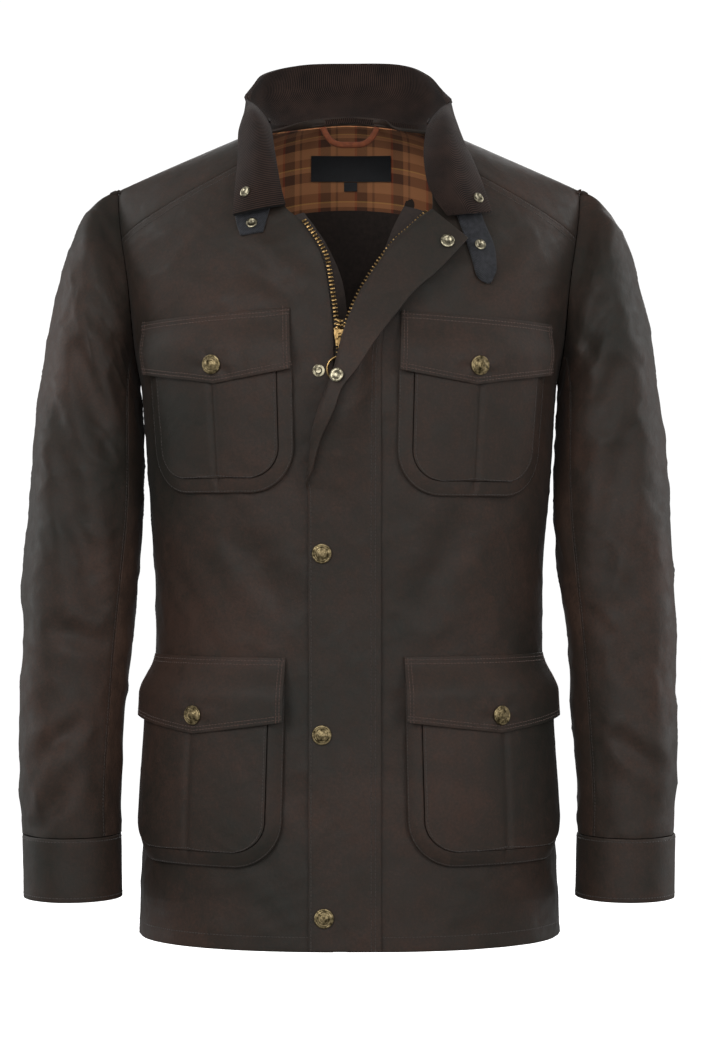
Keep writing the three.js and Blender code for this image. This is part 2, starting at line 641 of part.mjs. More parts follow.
const TEETH_LEFT = counted([
  { x: ZIP_X, z: HEM + 3 },
  { x: ZIP_X, z: -400 },
  { x: ZIP_X, z: -198 },
  { x: -3, z: -190 },
  { x: 6, z: -167 },
  { x: 21, z: -140 },
  { x: 41, z: -112 },
  { x: 58, z: -96 },
  { x: 72, z: -82 },
]);

function addFacing(side, table, name) {
  const grid = span(0, table.length - 1, 14).map((at) => {
    const row = rowAt(table, 'at', at);
    const line = span(0, 1, 5).map((share) => {
      return onFront(mix(row.x, row.inX, share), mix(row.z, row.inZ, share), -5 - 11 * share ** 1.5);
    });
    return side < 0 ? line : line.reverse();
  });
  piece(name, wall(grid, LINING), twill);
}
addFacing(-1, FACING_RIGHT, 'facing_right');
addFacing(1, FACING_LEFT, 'facing_left');

const TAPE_WIDE = 12;
const TAPE_LIFT = -3.4;

function addTape(side, table, name) {
  const places = [...span(0, 2, 12), ...span(2.4, table.length - 1, 16)];
  const grid = places.map((at) => {
    const row = rowAt(table, 'at', at);
    const away = [0.4, TAPE_WIDE / 2, TAPE_WIDE];
    const line = away.map((distance) => onFront(row.x + side * distance, row.z, TAPE_LIFT));
    return side < 0 ? line.reverse() : line;
  });
  piece(name, wall(grid, 0.9), twill);
}
addTape(-1, TEETH_RIGHT, 'zip_tape_right');
addTape(1, TEETH_LEFT, 'zip_tape_left');

// Storm flap: sewn edge, roll line and free edge, and how far it stands off the front.
// On the lower rows it lies flat, and its roll line is the free edge itself.
const FLAP_ROWS = counted([
  { seamX: 29, seamZ: -745.5, rollX: -36, rollZ: -745.5, edgeX: -36, edgeZ: -745.5, rise: 0.5 },
  { seamX: 29, seamZ: -610, rollX: -36, rollZ: -610, edgeX: -36, edgeZ: -610, rise: 0.5 },
  { seamX: 29, seamZ: -480, rollX: -36, rollZ: -480, edgeX: -36, edgeZ: -480, rise: 0.5 },
  { seamX: 29, seamZ: -357, rollX: -36, rollZ: -355, edgeX: -36, edgeZ: -355, rise: 1.5 },
  { seamX: 29, seamZ: -327, rollX: -35, rollZ: -325, edgeX: -32, edgeZ: -323, rise: 4 },
  { seamX: 29, seamZ: -298, rollX: -32, rollZ: -293, edgeX: -24, edgeZ: -291, rise: 8 },
  { seamX: 29, seamZ: -273, rollX: -26, rollZ: -268, edgeX: -13, edgeZ: -266, rise: 12 },
  { seamX: 29, seamZ: -249, rollX: -19, rollZ: -248, edgeX: -5, edgeZ: -244, rise: 13 },
  { seamX: 29, seamZ: -227, rollX: -11, rollZ: -226, edgeX: 8, edgeZ: -228, rise: 13 },
  { seamX: 30, seamZ: -204, rollX: -4, rollZ: -200, edgeX: 24, edgeZ: -204, rise: 12 },
  { seamX: 34, seamZ: -178, rollX: 6, rollZ: -172, edgeX: 42, edgeZ: -180, rise: 8 },
  { seamX: 44, seamZ: -153, rollX: 22, rollZ: -143, edgeX: 58, edgeZ: -160, rise: 5 },
  { seamX: 62, seamZ: -127, rollX: 42, rollZ: -114, edgeX: 79, edgeZ: -141, rise: 4 },
  { seamX: 88, seamZ: -104, rollX: 73, rollZ: -87, edgeX: 104, edgeZ: -114, rise: 4 },
]);
const ROLL_RADIUS = 2.4;
const FLAP_COLUMNS = 13;

// Points set out evenly along a line of points
function spread(line, count) {
  const path = new THREE.CurvePath();
  for (let k = 1; k < line.length; k += 1) {
    if (line[k].distanceTo(line[k - 1]) > 0.01) path.add(new THREE.LineCurve3(line[k - 1], line[k]));
  }
  return span(0, 1, count).map((share) => path.getPointAt(share));
}

// One row across the flap: flat from the seam, round the roll, and back to the free edge
function flapRow(at) {
  const row = rowAt(FLAP_ROWS, 'at', at);
  const ahead = new THREE.Vector2(row.rollX - row.seamX, row.rollZ - row.seamZ);
  const reach = ahead.length();
  ahead.normalize();
  const back = Math.hypot(row.edgeX - row.rollX, row.edgeZ - row.rollZ);
  const curl = smooth(back / (2 * ROLL_RADIUS));
  const start = reach - curl * ROLL_RADIUS;
  const put = (along, lift) => {
    return onFront(row.seamX + ahead.x * along, row.seamZ + ahead.y * along, lift + FLAP_CLOTH);
  };
  const line = span(0, 1, 8).map((share) => put(start * share, mix(0.5, row.rise, smooth(share * 1.6))));
  for (const angle of [30, 60, 90, 120, 150, 180]) {
    const turn = radians(angle) * curl;
    line.push(put(start + ROLL_RADIUS * Math.sin(turn), row.rise + ROLL_RADIUS * (1 - Math.cos(turn))));
  }
  const top = row.rise + ROLL_RADIUS * (1 - Math.cos(Math.PI * curl));
  const fromX = row.rollX - ahead.x * curl * ROLL_RADIUS;
  const fromZ = row.rollZ - ahead.y * curl * ROLL_RADIUS;
  if (curl > 0.9) {
    for (const share of [0.25, 0.5, 0.75, 1]) {
      const lift = top + share * 1.5 + FLAP_CLOTH;
      line.push(onFront(mix(fromX, row.edgeX, share), mix(fromZ, row.edgeZ, share), lift));
    }
  }
  return spread(line, FLAP_COLUMNS).reverse();
}

const flapGrid = [...span(0, 3, 7), ...span(3.5, FLAP_ROWS.length - 1, 20)].map(flapRow);
const flapNormals = gridNormals(flapGrid, false);
piece('storm_flap', wall(flapGrid, FLAP_CLOTH), waxed);

// Wool throat tab and the stub it snaps to, both under the collar
const TAB_CLOTH = 2.4;
const TAB_LIFT = 1.5;
const STUB_LIFT = 0.4;
const THROAT_TAB = [
  { z: -149.5, left: 124, right: 128, slant: 0 },
  { z: -146, left: 118.5, right: 131, slant: 2 },
  { z: -140, left: 113.5, right: 133.5, slant: 5 },
  { z: -122, left: 108.5, right: 130, slant: 6 },
  { z: -102, left: 102.5, right: 123.5, slant: 4 },
  { z: -85, left: 96.5, right: 118, slant: 3 },
];
const TAB_STUB = [
  { z: -106, left: -97, right: -77, slant: 3 },
  { z: -95, left: -101, right: -74, slant: 4 },
  { z: -85, left: -103, right: -71, slant: 5 },
];

function addTab(table, name, lift) {
  const grid = table.map((row) => span(0, 1, 6).map((share) => {
    return onFront(mix(row.left, row.right, share), row.z + share * row.slant, lift + TAB_CLOTH);
  }));
  piece(name, wall(grid, TAB_CLOTH), wool);
}
addTab(THROAT_TAB, 'throat_tab', TAB_LIFT);
addTab(TAB_STUB, 'tab_stub', STUB_LIFT);

// Lining inside the back, where the open neck shows it, made from the back's own rows and columns.
// Rows are counted from the hem; the yoke's edge falls between two of them.
const LINING_ROW = 9;
const YOKE_ROW = BACK_ROWS_BELOW + 4.6;
const LINING_COLUMN = 3;
const LINING_LIFT = -SHELL - 0.7;
const LABEL_GAP = 0.4;

function backSpot(row, column, lift) {
  const between = (table) => {
    const blend = (line) => line[Math.floor(column)].clone().lerp(line[Math.ceil(column)], column % 1);
    return blend(table[Math.floor(row)]).lerp(blend(table[Math.ceil(row)]), row % 1);
  };
  return between(back.grid).addScaledVector(between(back.leans).normalize(), lift);
}

function addLining(from, to, name, material) {
  const between = back.grid.map((_, row) => row).filter((row) => row > from && row < to);
  const rows = [from, ...between, to];
  const columns = back.grid[0].map((_, column) => column).slice(LINING_COLUMN, -LINING_COLUMN);
  const grid = rows.map((row) => columns.map((column) => backSpot(row, column, LINING_LIFT)));
  piece(name, wall(grid, LINING), material);
}
addLining(YOKE_ROW, back.grid.length - 1.06, 'lining_yoke', check);
addLining(LINING_ROW, YOKE_ROW - 0.015, 'lining_back', twill);

// Labels lie on the lining, found by how they look from straight ahead
function addLabel(left, right, low, high, columns, name) {
  const lastRow = back.grid.length - 1;
  const lastColumn = back.grid[0].length - 1;
  const grid = [low, (low + high) / 2, high].map((z) => {
    const row = solve(LINING_ROW, lastRow, z, (at) => backSpot(at, lastColumn / 2, 0).z);
    return span(right, left, columns).map((x) => {
      const column = solve(0, lastColumn, -x, (at) => -backSpot(row, at, 0).x);
      return backSpot(row, column, LINING_LIFT - LINING - LABEL_GAP);
    });
  });
  piece(name, wall(grid, 0.8), wool);
}
addLabel(-38, 42, -29, -4, 7, 'label');
addLabel(-5, 8, -38.5, -29.5, 3, 'size_tab');

function circleShape(radius) {
  const shape = new THREE.Shape();
  shape.absarc(0, 0, radius, 0, Math.PI * 2);
  return shape;
}

// Hanger loop: a hanging curve between its two sewn ends
const LOOP_HALF = 26;
const LOOP_X = 1;
const LOOP_TOP = 15.5;
const LOOP_DROP = 17;
const LOOP_Y = 61.1;
const LOOP_BOW = 3.7;
const loopPlaces = [-1, -0.8, -0.4, 0, 0.4, 0.8, 1].map((place) => {
  const hang = 1 - place ** 4;
  return vec(LOOP_X + LOOP_HALF * place, LOOP_Y + LOOP_BOW * hang, LOOP_TOP - LOOP_DROP * hang);
});
const loopCurve = new THREE.CatmullRomCurve3(loopPlaces);
piece('hanger_loop', new THREE.ExtrudeGeometry(circleShape(2.1), {
  steps: 14,
  curveSegments: 3,
  extrudePath: loopCurve,
}), check);

// Bellows pockets: a sewn gusset, a face with a centre pleat, and a pointed flap
const FACE_CLOTH = 1.6;
const GUSSET_CLOTH = 1.5;
const CORNER = 28;
const GUSSET_WIDE = 14;
const GUSSET_LIFT = 2;
const FACE_TOP = 24;
const CHEST_POCKET = { deep: 5.5, belly: 2, bottom: 149, inset: 0 };
const LOWER_POCKET = { deep: 9, belly: 3, bottom: 174, inset: 7 };
const POCKETS = [
  { word: 'chest_right', side: -1, top: -175, innerX: 50, outerTurn: 61, flapSide: 53, flapPoint: 65 },
  { word: 'chest_left', side: 1, top: -178, innerX: 44, outerTurn: 59, flapSide: 51, flapPoint: 63 },
  { word: 'lower_right', side: -1, top: -485, innerX: 57, outerTurn: 76, flapSide: 58, flapPoint: 70 },
  { word: 'lower_left', side: 1, top: -484, innerX: 50, outerTurn: 76, flapSide: 59, flapPoint: 70 },
];

// Measures along the cloth across a pocket, so that distances from its middle can be turned into turns
function fitPocket(pocket) {
  const sizes = pocket.word.startsWith('chest') ? CHEST_POCKET : LOWER_POCKET;
  const level = pocket.top - 60;
  const inner = turnAt(pocket.innerX, level);
  const ends = pocket.side > 0 ? [inner, pocket.outerTurn] : [-pocket.outerTurn, -inner];
  const turns = span(...ends, 40);
  const reach = [0];
  for (let k = 1; k < turns.length; k += 1) {
    reach.push(reach[k - 1] + torso(level, turns[k]).distanceTo(torso(level, turns[k - 1])));
  }
  return { ...pocket, ...sizes, turns, reach, wide: reach[reach.length - 1] };
}

function onPocket(p, across, down, lift) {
  const wanted = clamp(across + p.wide / 2, 0, p.wide);
  let k = 1;
  while (k < p.reach.length - 1 && p.reach[k] < wanted) k += 1;
  const share = (wanted - p.reach[k - 1]) / (p.reach[k] - p.reach[k - 1]);
  return onBody(p.top - down, mix(p.turns[k - 1], p.turns[k], share), lift);
}

// The flap's point and the pleat lie a little inwards of the middle
const POINT_INWARDS = 5;
const PLEAT_INWARDS = 1;
const pointLine = (p) => -p.side * POINT_INWARDS;
const pleatLine = (p) => -p.side * PLEAT_INWARDS;

function bagHalf(p, down) {
  const full = p.wide / 2 - GUSSET_WIDE;
  const over = clamp(down - (p.bottom - CORNER), 0, CORNER);
  return full - CORNER + Math.sqrt(CORNER ** 2 - over ** 2);
}

function faceLift(p, across, down) {
  const pleat = 2 * Math.exp(-(((across - pleatLine(p)) / 3) ** 2));
  const round = 1 - (across / (p.wide / 2)) ** 2;
  const belly = p.belly * round * Math.sin(Math.PI * clamp(down / p.bottom, 0, 1));
  const rise = smooth((down - 10) / 50);
  return mix(4, p.deep, rise) + rise * (belly - pleat * smooth((down - 40) / 20));
}

const flapInner = (p, down) => 0.7 + (p.deep + p.belly + 1.2) * smooth(down / 38);

function addPocket(pocket) {
  const p = fitPocket(pocket);
  const corner = [25, 50, 72, 86].map((angle) => p.bottom - CORNER + CORNER * Math.sin(radians(angle)));
  const downs = [...span(FACE_TOP, p.bottom - CORNER, 5), ...corner].reverse();
  const full = bagHalf(p, 0);
  const pleat = pleatLine(p) / full;
  const across = [-1, -0.7, -0.4, pleat - 4 / full, pleat, pleat + 4 / full, 0.4, 0.7, 1];
  const face = downs.map((down) => across.map((share) => {
    const a = share * bagHalf(p, down);
    return onPocket(p, a, down, faceLift(p, a, down) + FACE_CLOTH);
  }));
  piece(`pocket_${p.word}_face`, wall(face, FACE_CLOTH), waxed);

  const half = [
    ...span(FACE_TOP, p.bottom - CORNER, 4).map((down) => ({ a: full, down, angle: 0 })),
    ...[22, 45, 68, 88].map((angle) => ({
      a: full - CORNER + CORNER * Math.cos(radians(angle)),
      down: p.bottom - CORNER + CORNER * Math.sin(radians(angle)),
      angle,
    })),
  ];
  const mirrored = half.map(({ a, down, angle }) => ({ a: -a, down, angle: 180 - angle }));
  const path = [...mirrored, { a: 0, down: p.bottom, angle: 90 }, ...half.reverse()];
  const gusset = [1, 0.45, 0.02].map((share) => path.map(({ a, down, angle }) => {
    const wide = GUSSET_WIDE * share;
    const edge = faceLift(p, a, down) - 0.3;
    const lift = mix(edge, GUSSET_LIFT + GUSSET_CLOTH, share ** 1.6);
    return onPocket(p, a + wide * Math.cos(radians(angle)), down + wide * Math.sin(radians(angle)), lift);
  }));
  piece(`pocket_${p.word}_gusset`, wall(gusset, GUSSET_CLOTH), waxed);

  const flap = [1, 0.75, 0.47, 0.22, 0].map((share) => span(-1, 1, 9).map((place) => {
    const point = mix(p.flapPoint, p.flapSide, Math.abs(place));
    const down = share * point;
    const end = p.side * place < 0 ? -p.side * p.wide / 2 : p.side * (p.wide / 2 - p.inset);
    return onPocket(p, mix(pointLine(p), end, Math.abs(place)), down, flapInner(p, down) + SHELL);
  }));
  piece(`pocket_${p.word}_flap`, wall(flap, SHELL), waxed);
  return p;
}
const pockets = POCKETS.map(addPocket);

// Zip slider, its link and its ring. The link turns on the slider's pin, the ring in the link's eye.
const SLIDER_BACK = -132;
const SLIDER_DEEP = 5.4;
const PIN_Y = -141;
const PIN_Z = -198;
const RING_Z = -216.8;
const RING_RADIUS = 11.2;
const WIRE = 1.1;
const LINK_WIDE = 2.6;

// A profile drawn in Y and Z, given its width along X
function sideProfile(shape, wide) {
  const geometry = new THREE.ExtrudeGeometry(shape, { depth: wide, bevelEnabled: false, curveSegments: 10 });
  geometry.translate(0, 0, -wide / 2);
  geometry.rotateY(Math.PI / 2);
  geometry.rotateX(Math.PI / 2);
  return geometry;
}

// A plate drawn in X and Z, given its depth from a back face towards the front
function facingPlate(outline, backY, deep) {
  const shape = new THREE.Shape(outline.map(([x, z]) => new THREE.Vector2(ZIP_X + x, z)));
  const geometry = new THREE.ExtrudeGeometry(shape, { depth: deep, bevelEnabled: false });
  geometry.rotateX(Math.PI / 2);
  geometry.translate(0, backY, 0);
  return geometry;
}

function join(geometries) {
  const solids = geometries.map((geometry) => {
    const bare = geometry.clone();
    bare.deleteAttribute('normal');
    bare.deleteAttribute('uv');
    const merged = mergeVertices(bare, 1e-4);
    return new wasm.Manifold(new wasm.Mesh({
      numProp: 3,
      vertProperties: merged.attributes.position.array,
      triVerts: new Uint32Array(merged.index.array),
    }));
  });
  const { vertProperties, triVerts } = solids.reduce((whole, next) => whole.add(next)).getMesh();
  const geometry = new THREE.BufferGeometry();
  geometry.setAttribute('position', new THREE.BufferAttribute(vertProperties, 3));
  geometry.setIndex([...triVerts]);
  geometry.computeVertexNormals();
  return geometry;
}

function addSlider() {
  const outline = [[-5, -192.5], [-5.2, -196], [-3.4, -207], [3.4, -207], [5.2, -196], [5, -192.5]];
  const body = facingPlate(outline, SLIDER_BACK, SLIDER_DEEP);
  const cheek = [[0, -195.5], [0, -200.5], [1.2, -200.5], [1.2, -195.5]];
  const cheekDeep = SLIDER_BACK - SLIDER_DEEP - PIN_Y + 2.2;
  const cheeks = [-3, 1.8].map((x) => {
    return facingPlate(cheek.map(([dx, z]) => [dx + x, z]), SLIDER_BACK - SLIDER_DEEP + 0.5, cheekDeep);
  });
  const pin = new THREE.CylinderGeometry(0.9, 0.9, 5, 10);
  pin.rotateZ(Math.PI / 2);
  pin.translate(ZIP_X, PIN_Y, PIN_Z);
  piece('zip_slider', join([body, ...cheeks, pin]), brass);
}

function addLink() {
  const shape = new THREE.Shape();
  const top = 2.4;
  const foot = 2.7;
  const stem = 1.1;
  const lean = (radius) => Math.asin(stem / radius);
  shape.absarc(0, PIN_Z, top, lean(top) - Math.PI / 2, Math.PI * 1.5 - lean(top));
  shape.absarc(0, RING_Z, foot, Math.PI / 2 + lean(foot), Math.PI * 2.5 - lean(foot));
  shape.closePath();
  for (const [z, radius] of [[PIN_Z, 1.25], [RING_Z, 1.5]]) {
    const hole = new THREE.Path();
    hole.absarc(0, z, radius, 0, Math.PI * 2);
    shape.holes.push(hole);
  }
  const link = sideProfile(shape, LINK_WIDE);
  link.translate(ZIP_X, PIN_Y, 0);
  piece('zip_link', link, brass);
}

function addRing() {
  const ring = new THREE.TorusGeometry(RING_RADIUS, WIRE, 8, 30);
  ring.rotateX(Math.PI / 2);
  ring.translate(ZIP_X, PIN_Y, RING_Z - RING_RADIUS);
  piece('zip_ring', ring, brass);
}
addSlider();
addLink();
addRing();

// Snaps: profiles from the axis outwards, turned round it
const profiles = {
  cap: [[0, 0], [8.6, 0], [8.6, 1], [6.4, 2.1], [0, 2.8]],
  stud: [[0, 0], [5.7, 0], [5.4, 0.9], [3.2, 1], [2.6, 2.7], [0, 3]],
  socket: [[0, 0], [6.4, 0], [6.2, 1.2], [5, 1.7], [3, 1.5], [2.2, 0.6], [0, 0.6]],
  eyelet: [[0, 0], [5.2, 0], [5, 0.9], [3.9, 1.3], [2.8, 1], [2.1, 0.5], [0, 0.5]],
};
const SNAP_SIDES = 12;

function addSnap(name, kind, base, axis, scale = 1) {
  const outline = profiles[kind].map(([r, h]) => new THREE.Vector2(r * scale, h));
  const snap = new THREE.LatheGeometry(outline, SNAP_SIDES);
  const mesh = piece(name, snap, brass);
  mesh.quaternion.setFromUnitVectors(vec(0, 1, 0), axis);
  mesh.position.copy(base);
}

// A snap that sits on the front at a given lift, seen from straight ahead at x and z
function addFrontSnap(name, kind, x, z, lift) {
  const level = levelAt(x, z);
  const turn = turnAt(x, level);
  addSnap(name, kind, onBody(level, turn, lift), torsoNormal(level, turn));
}

const ON_FLAP = FLAP_CLOTH + 0.9;
addFrontSnap('flap_cap_top', 'cap', -24, -392, ON_FLAP + 0.8);
addFrontSnap('flap_cap_middle', 'cap', -24, -554, ON_FLAP);
addFrontSnap('flap_cap_bottom', 'cap', -22, -716, ON_FLAP);
addFrontSnap('stud_right', 'stud', -27, -229, -0.5);
addFrontSnap('tab_snap_left', 'eyelet', 117, -115, TAB_LIFT + TAB_CLOTH + 0.3);
addFrontSnap('tab_snap_right', 'eyelet', -87, -95, STUB_LIFT + TAB_CLOTH + 0.3);

for (const p of pockets) {
  const down = p.flapSide - 5;
  const spot = (beside, below) => {
    return onPocket(p, pointLine(p) + beside, down + below, flapInner(p, down + below) + SHELL + 0.35);
  };
  const base = spot(0, 0);
  const beside = spot(4, 0).sub(base);
  const below = spot(0, 6).sub(base);
  addSnap(`pocket_${p.word}_cap`, 'cap', base, below.cross(beside).normalize());
}

// A snap on a wall, at the place nearest to x and z whose normal faces the given way.
// A depth of nought puts it on the outer face, and the wall's thickness on the far face.
const WALL_PARTS = [0, 0.25, 0.5, 0.75];

function addOnWall(name, kind, grid, normals, { facing, depth, gap, x, z }) {
  let best = { away: Infinity };
  const spot = (table, i, j, up, over) => {
    const blend = (row) => row[j].clone().lerp(row[j + 1], over);
    return blend(table[i]).lerp(blend(table[i + 1]), up);
  };
  for (let i = 0; i < grid.length - 1; i += 1) {
    for (let j = 0; j < grid[0].length - 1; j += 1) {
      for (const up of WALL_PARTS) {
        for (const over of WALL_PARTS) {
          const point = spot(grid, i, j, up, over);
          const normal = spot(normals, i, j, up, over).normalize();
          const away = Math.hypot(point.x - x, point.z - z);
          if (normal.y * facing > 0 && away < best.away) best = { away, point, normal };
        }
      }
    }
  }
  const axis = best.normal.clone().multiplyScalar(depth > 0 ? -1 : 1);
  const base = best.point.clone().addScaledVector(best.normal, -depth).addScaledVector(axis, gap);
  addSnap(name, kind, base, axis);
}
const underFlap = { facing: 1, depth: FLAP_CLOTH, gap: 1 };
const onCollar = { facing: -1, depth: 0, gap: 0.6 };
addOnWall('flap_socket_top', 'socket', flapGrid, flapNormals, { ...underFlap, x: 87.5, z: -113 });
addOnWall('flap_socket_lower', 'socket', flapGrid, flapNormals, { ...underFlap, x: -9.5, z: -235.5 });
addOnWall('collar_ring_right', 'eyelet', collarGrid, collarNormals, { ...onCollar, x: -93.6, z: -65.5 });
addOnWall('collar_ring_left', 'eyelet', collarGrid, collarNormals, { ...onCollar, x: 117, z: -71 });

export default jacket;
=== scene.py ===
# Waxed cotton field jacket, filled out as if worn: its cloth, sewing, studs and zip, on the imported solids
import math

import bpy
import numpy as np
from mathutils import Matrix, Vector


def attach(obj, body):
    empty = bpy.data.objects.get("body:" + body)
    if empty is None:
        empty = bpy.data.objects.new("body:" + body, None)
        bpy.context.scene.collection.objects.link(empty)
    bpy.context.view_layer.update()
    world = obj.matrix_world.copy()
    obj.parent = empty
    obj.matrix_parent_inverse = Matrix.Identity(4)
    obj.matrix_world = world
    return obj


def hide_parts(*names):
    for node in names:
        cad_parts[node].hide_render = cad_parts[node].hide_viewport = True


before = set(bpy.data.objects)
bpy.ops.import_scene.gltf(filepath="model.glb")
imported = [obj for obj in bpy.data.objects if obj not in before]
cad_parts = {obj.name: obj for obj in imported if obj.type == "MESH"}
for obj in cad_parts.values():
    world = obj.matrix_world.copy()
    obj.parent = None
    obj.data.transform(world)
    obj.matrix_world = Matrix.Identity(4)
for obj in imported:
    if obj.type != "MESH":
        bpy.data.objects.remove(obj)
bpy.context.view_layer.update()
JACKET = "jacket"

# The form, in millimetres, as the solids have it: X to the wearer's left, the front faces minus Y, Z up
MM = 0.001
HEM = -746
ARMPIT = -235
NECK_HALF = 95
CHEST_HALF = 195
SHOULDER_HALF = 217
CHEST_FRONT = 136
CHEST_BACK = 126
SHOULDER_SLOPE = 0.4465
RIDGE_ROUND = 40
SQUARENESS = 2.4
FRONT_CURVE = 1.8
BACK_CURVE = 2.2
NAPE_CURVE = 2
ARMHOLE_SCOOP = 22
SHELL = 2
HALF_SEAM = 0.25
RIDGE_GAP = 0.3
FLAP_CLOTH = 2.2

# Level, half width, front depth, back depth
TORSO = np.array([
    (-746, 197, 146, 128),
    (-640, 191, 140, 120),
    (-540, 184, 134, 110),
    (-440, 181, 131, 106),
    (-340, 187, 134, 116),
    (-235, 195, 136, 126),
], float)

# Station, outer x and z, inner x and z, half depth, how far forward
SLEEVE = np.array([
    (0, 217, -52.6, 195, -235, 52, 0),
    (0.05, 230, -57, 196.3, -239, 57, 0),
    (0.1, 240, -66, 196.5, -243, 61, 0),
    (0.16, 252, -83, 196.3, -249, 64, -1),
    (0.23, 264, -109, 195.6, -257, 66, -1),
    (0.31, 274, -146, 194.4, -270, 67, -2),
    (0.4, 284, -196, 192.8, -291, 67, -4),
    (0.49, 291.5, -253, 191, -322, 66, -8),
    (0.58, 297.5, -320, 191.2, -362, 63, -14),
    (0.68, 301.5, -390, 196.5, -420, 60, -21),
    (0.78, 303.5, -465, 203, -484, 57, -28),
    (0.88, 304, -545, 208.5, -556, 54, -35),
    (0.96, 302.8, -617, 212, -619, 52.5, -39.5),
    (1, 301, -651, 211.5, -651, 52, -41),
], float)
CUFF_DROP = 58
SLEEVE_BLEND = 0.16

# Folds: face (-1 front, 1 back), from x and z, to x and z, depth, half width. A negative depth is a ridge.
RIGHT_SLEEVE_FOLDS = [
    (-1, 247, -208, 222, -290, 5, 11),
    (-1, 270, -272, 232, -438, 5, 12),
    (-1, 234, -165, 203, -209, 5, 10),
    (-1, 283, -578, 248, -548, 4, 9),
    (-1, 281, -640, 254, -602, 4, 9),
    (-1, 266, -462, 228, -472, 4, 10),
    (1, 262, -330, 205, -372, 5, 12),
    (1, 281, -420, 222, -440, 4, 11),
    (1, 268, -190, 212, -246, 4, 12),
]
LEFT_SLEEVE_FOLDS = [
    (-1, 233, -165, 206, -230, 5, 11),
    (-1, 246, -224, 231, -272, 5, 11),
    (-1, 254, -281, 230, -406, 5, 12),
    (-1, 282, -590, 245, -560, 4, 9),
    (1, 266, -345, 207, -380, 5, 12),
    (1, 278, -436, 225, -462, 4, 11),
    (1, 262, -180, 214, -240, 4, 12),
]
BODY_FOLDS = [
    (-1, -168, -118, -92, -148, 3, 12),
    (-1, -120, -112, -52, -160, 3.5, 11),
    (-1, 150, -108, 112, -160, 3, 11),
    (-1, -100, -372, -60, -440, 3, 14),
    (-1, 96, -368, 66, -440, 3, 14),
    (1, -178, -150, -128, -300, 5, 15),
    (1, 176, -140, 126, -290, 5, 15),
    (1, -110, -420, 10, -404, 4, 16),
    (1, 20, -452, 130, -430, 4, 16),
    (1, -60, -500, -48, -700, 4, 20),
    (1, 72, -520, 66, -710, 4, 20),
]

# Opened front edges and neckline: x and z from the slider up over the shoulder
ZIP_X = -8
EDGE_RIGHT = [(-14, -196), (-17, -167), (-21, -140), (-26, -122), (-37, -103), (-47, -89),
              (-58, -78), (-65, -52), (-72, -22), (-78, 0)]
EDGE_LEFT = [(-2, -196), (9, -167), (25, -140), (45, -112), (62, -96), (75, -82),
             (76, -60), (76, -30), (78, 0)]
NECK_X = 79
NAPE_Y = 71.3
STRIP_AT_NECK = -28
STRIP_AT_ARM = -57
STRIP_CLIMB = 0.757
TOP_CLIMB = 0.99999


def mix(a, b, share):
    return a + (b - a) * share


def smooth(share):
    t = np.clip(share, 0, 1)
    return t * t * (3 - 2 * t)


def row_at(table, wanted):
    """The columns of a table at any place between its rows, by a smooth curve through them"""
    keys = table[:, 0]
    place = np.clip(np.asarray(wanted, float), keys[0], keys[-1])
    k = np.clip(np.searchsorted(keys, place, side="right") - 1, 0, len(keys) - 2)
    before, after = np.maximum(k - 1, 0), np.minimum(k + 2, len(keys) - 1)
    step = (keys[k + 1] - keys[k])[..., None]
    t = (place - keys[k])[..., None] / step
    here, follow = table[k, 1:], table[k + 1, 1:]
    leave = (follow - table[before, 1:]) / (keys[k + 1] - keys[before])[..., None] * step
    arrive = (table[after, 1:] - here) / (keys[after] - keys[k])[..., None] * step
    t2, t3 = t * t, t * t * t
    ends = (2 * t3 - 3 * t2 + 1) * here + (3 * t2 - 2 * t3) * follow
    return ends + (t3 - 2 * t2 + t) * leave + (t3 - t2) * arrive


def fold_depth(folds, face, x, z):
    depth = np.zeros(np.broadcast(x, z).shape)
    for side, fx, fz, tx, tz, deep, width in folds:
        run, drop = tx - fx, tz - fz
        along = np.clip(((x - fx) * run + (z - fz) * drop) / (run * run + drop * drop), 0, 1)
        away = np.hypot(x - fx - run * along, z - fz - drop * along)
        trough = np.exp(-((away / width) ** 2)) - 0.45 * np.exp(-(((away - 1.7 * width) / width) ** 2))
        depth += np.where(face == side, deep * (0.55 + 0.45 * np.sin(np.pi * along)) * trough, 0)
    return depth


def ring(level):
    low = row_at(TORSO, np.minimum(level, ARMPIT))
    climb = np.clip((level - ARMPIT) / -ARMPIT, 0, 1)
    above = level > ARMPIT
    widen = np.sin(np.minimum(climb * 1.35, 1) * np.pi / 2)
    half = np.where(above, mix(CHEST_HALF, SHOULDER_HALF, widen), low[..., 0])
    rise = CHEST_FRONT * np.maximum(1 - climb ** FRONT_CURVE, 0) ** (1 / FRONT_CURVE)
    front = np.where(above, rise, low[..., 1])
    return half, front, np.where(above, CHEST_BACK, low[..., 2]), climb


def slope_drop(x):
    return SHOULDER_SLOPE * (np.hypot(x, RIDGE_ROUND) - math.hypot(NECK_HALF, RIDGE_ROUND))


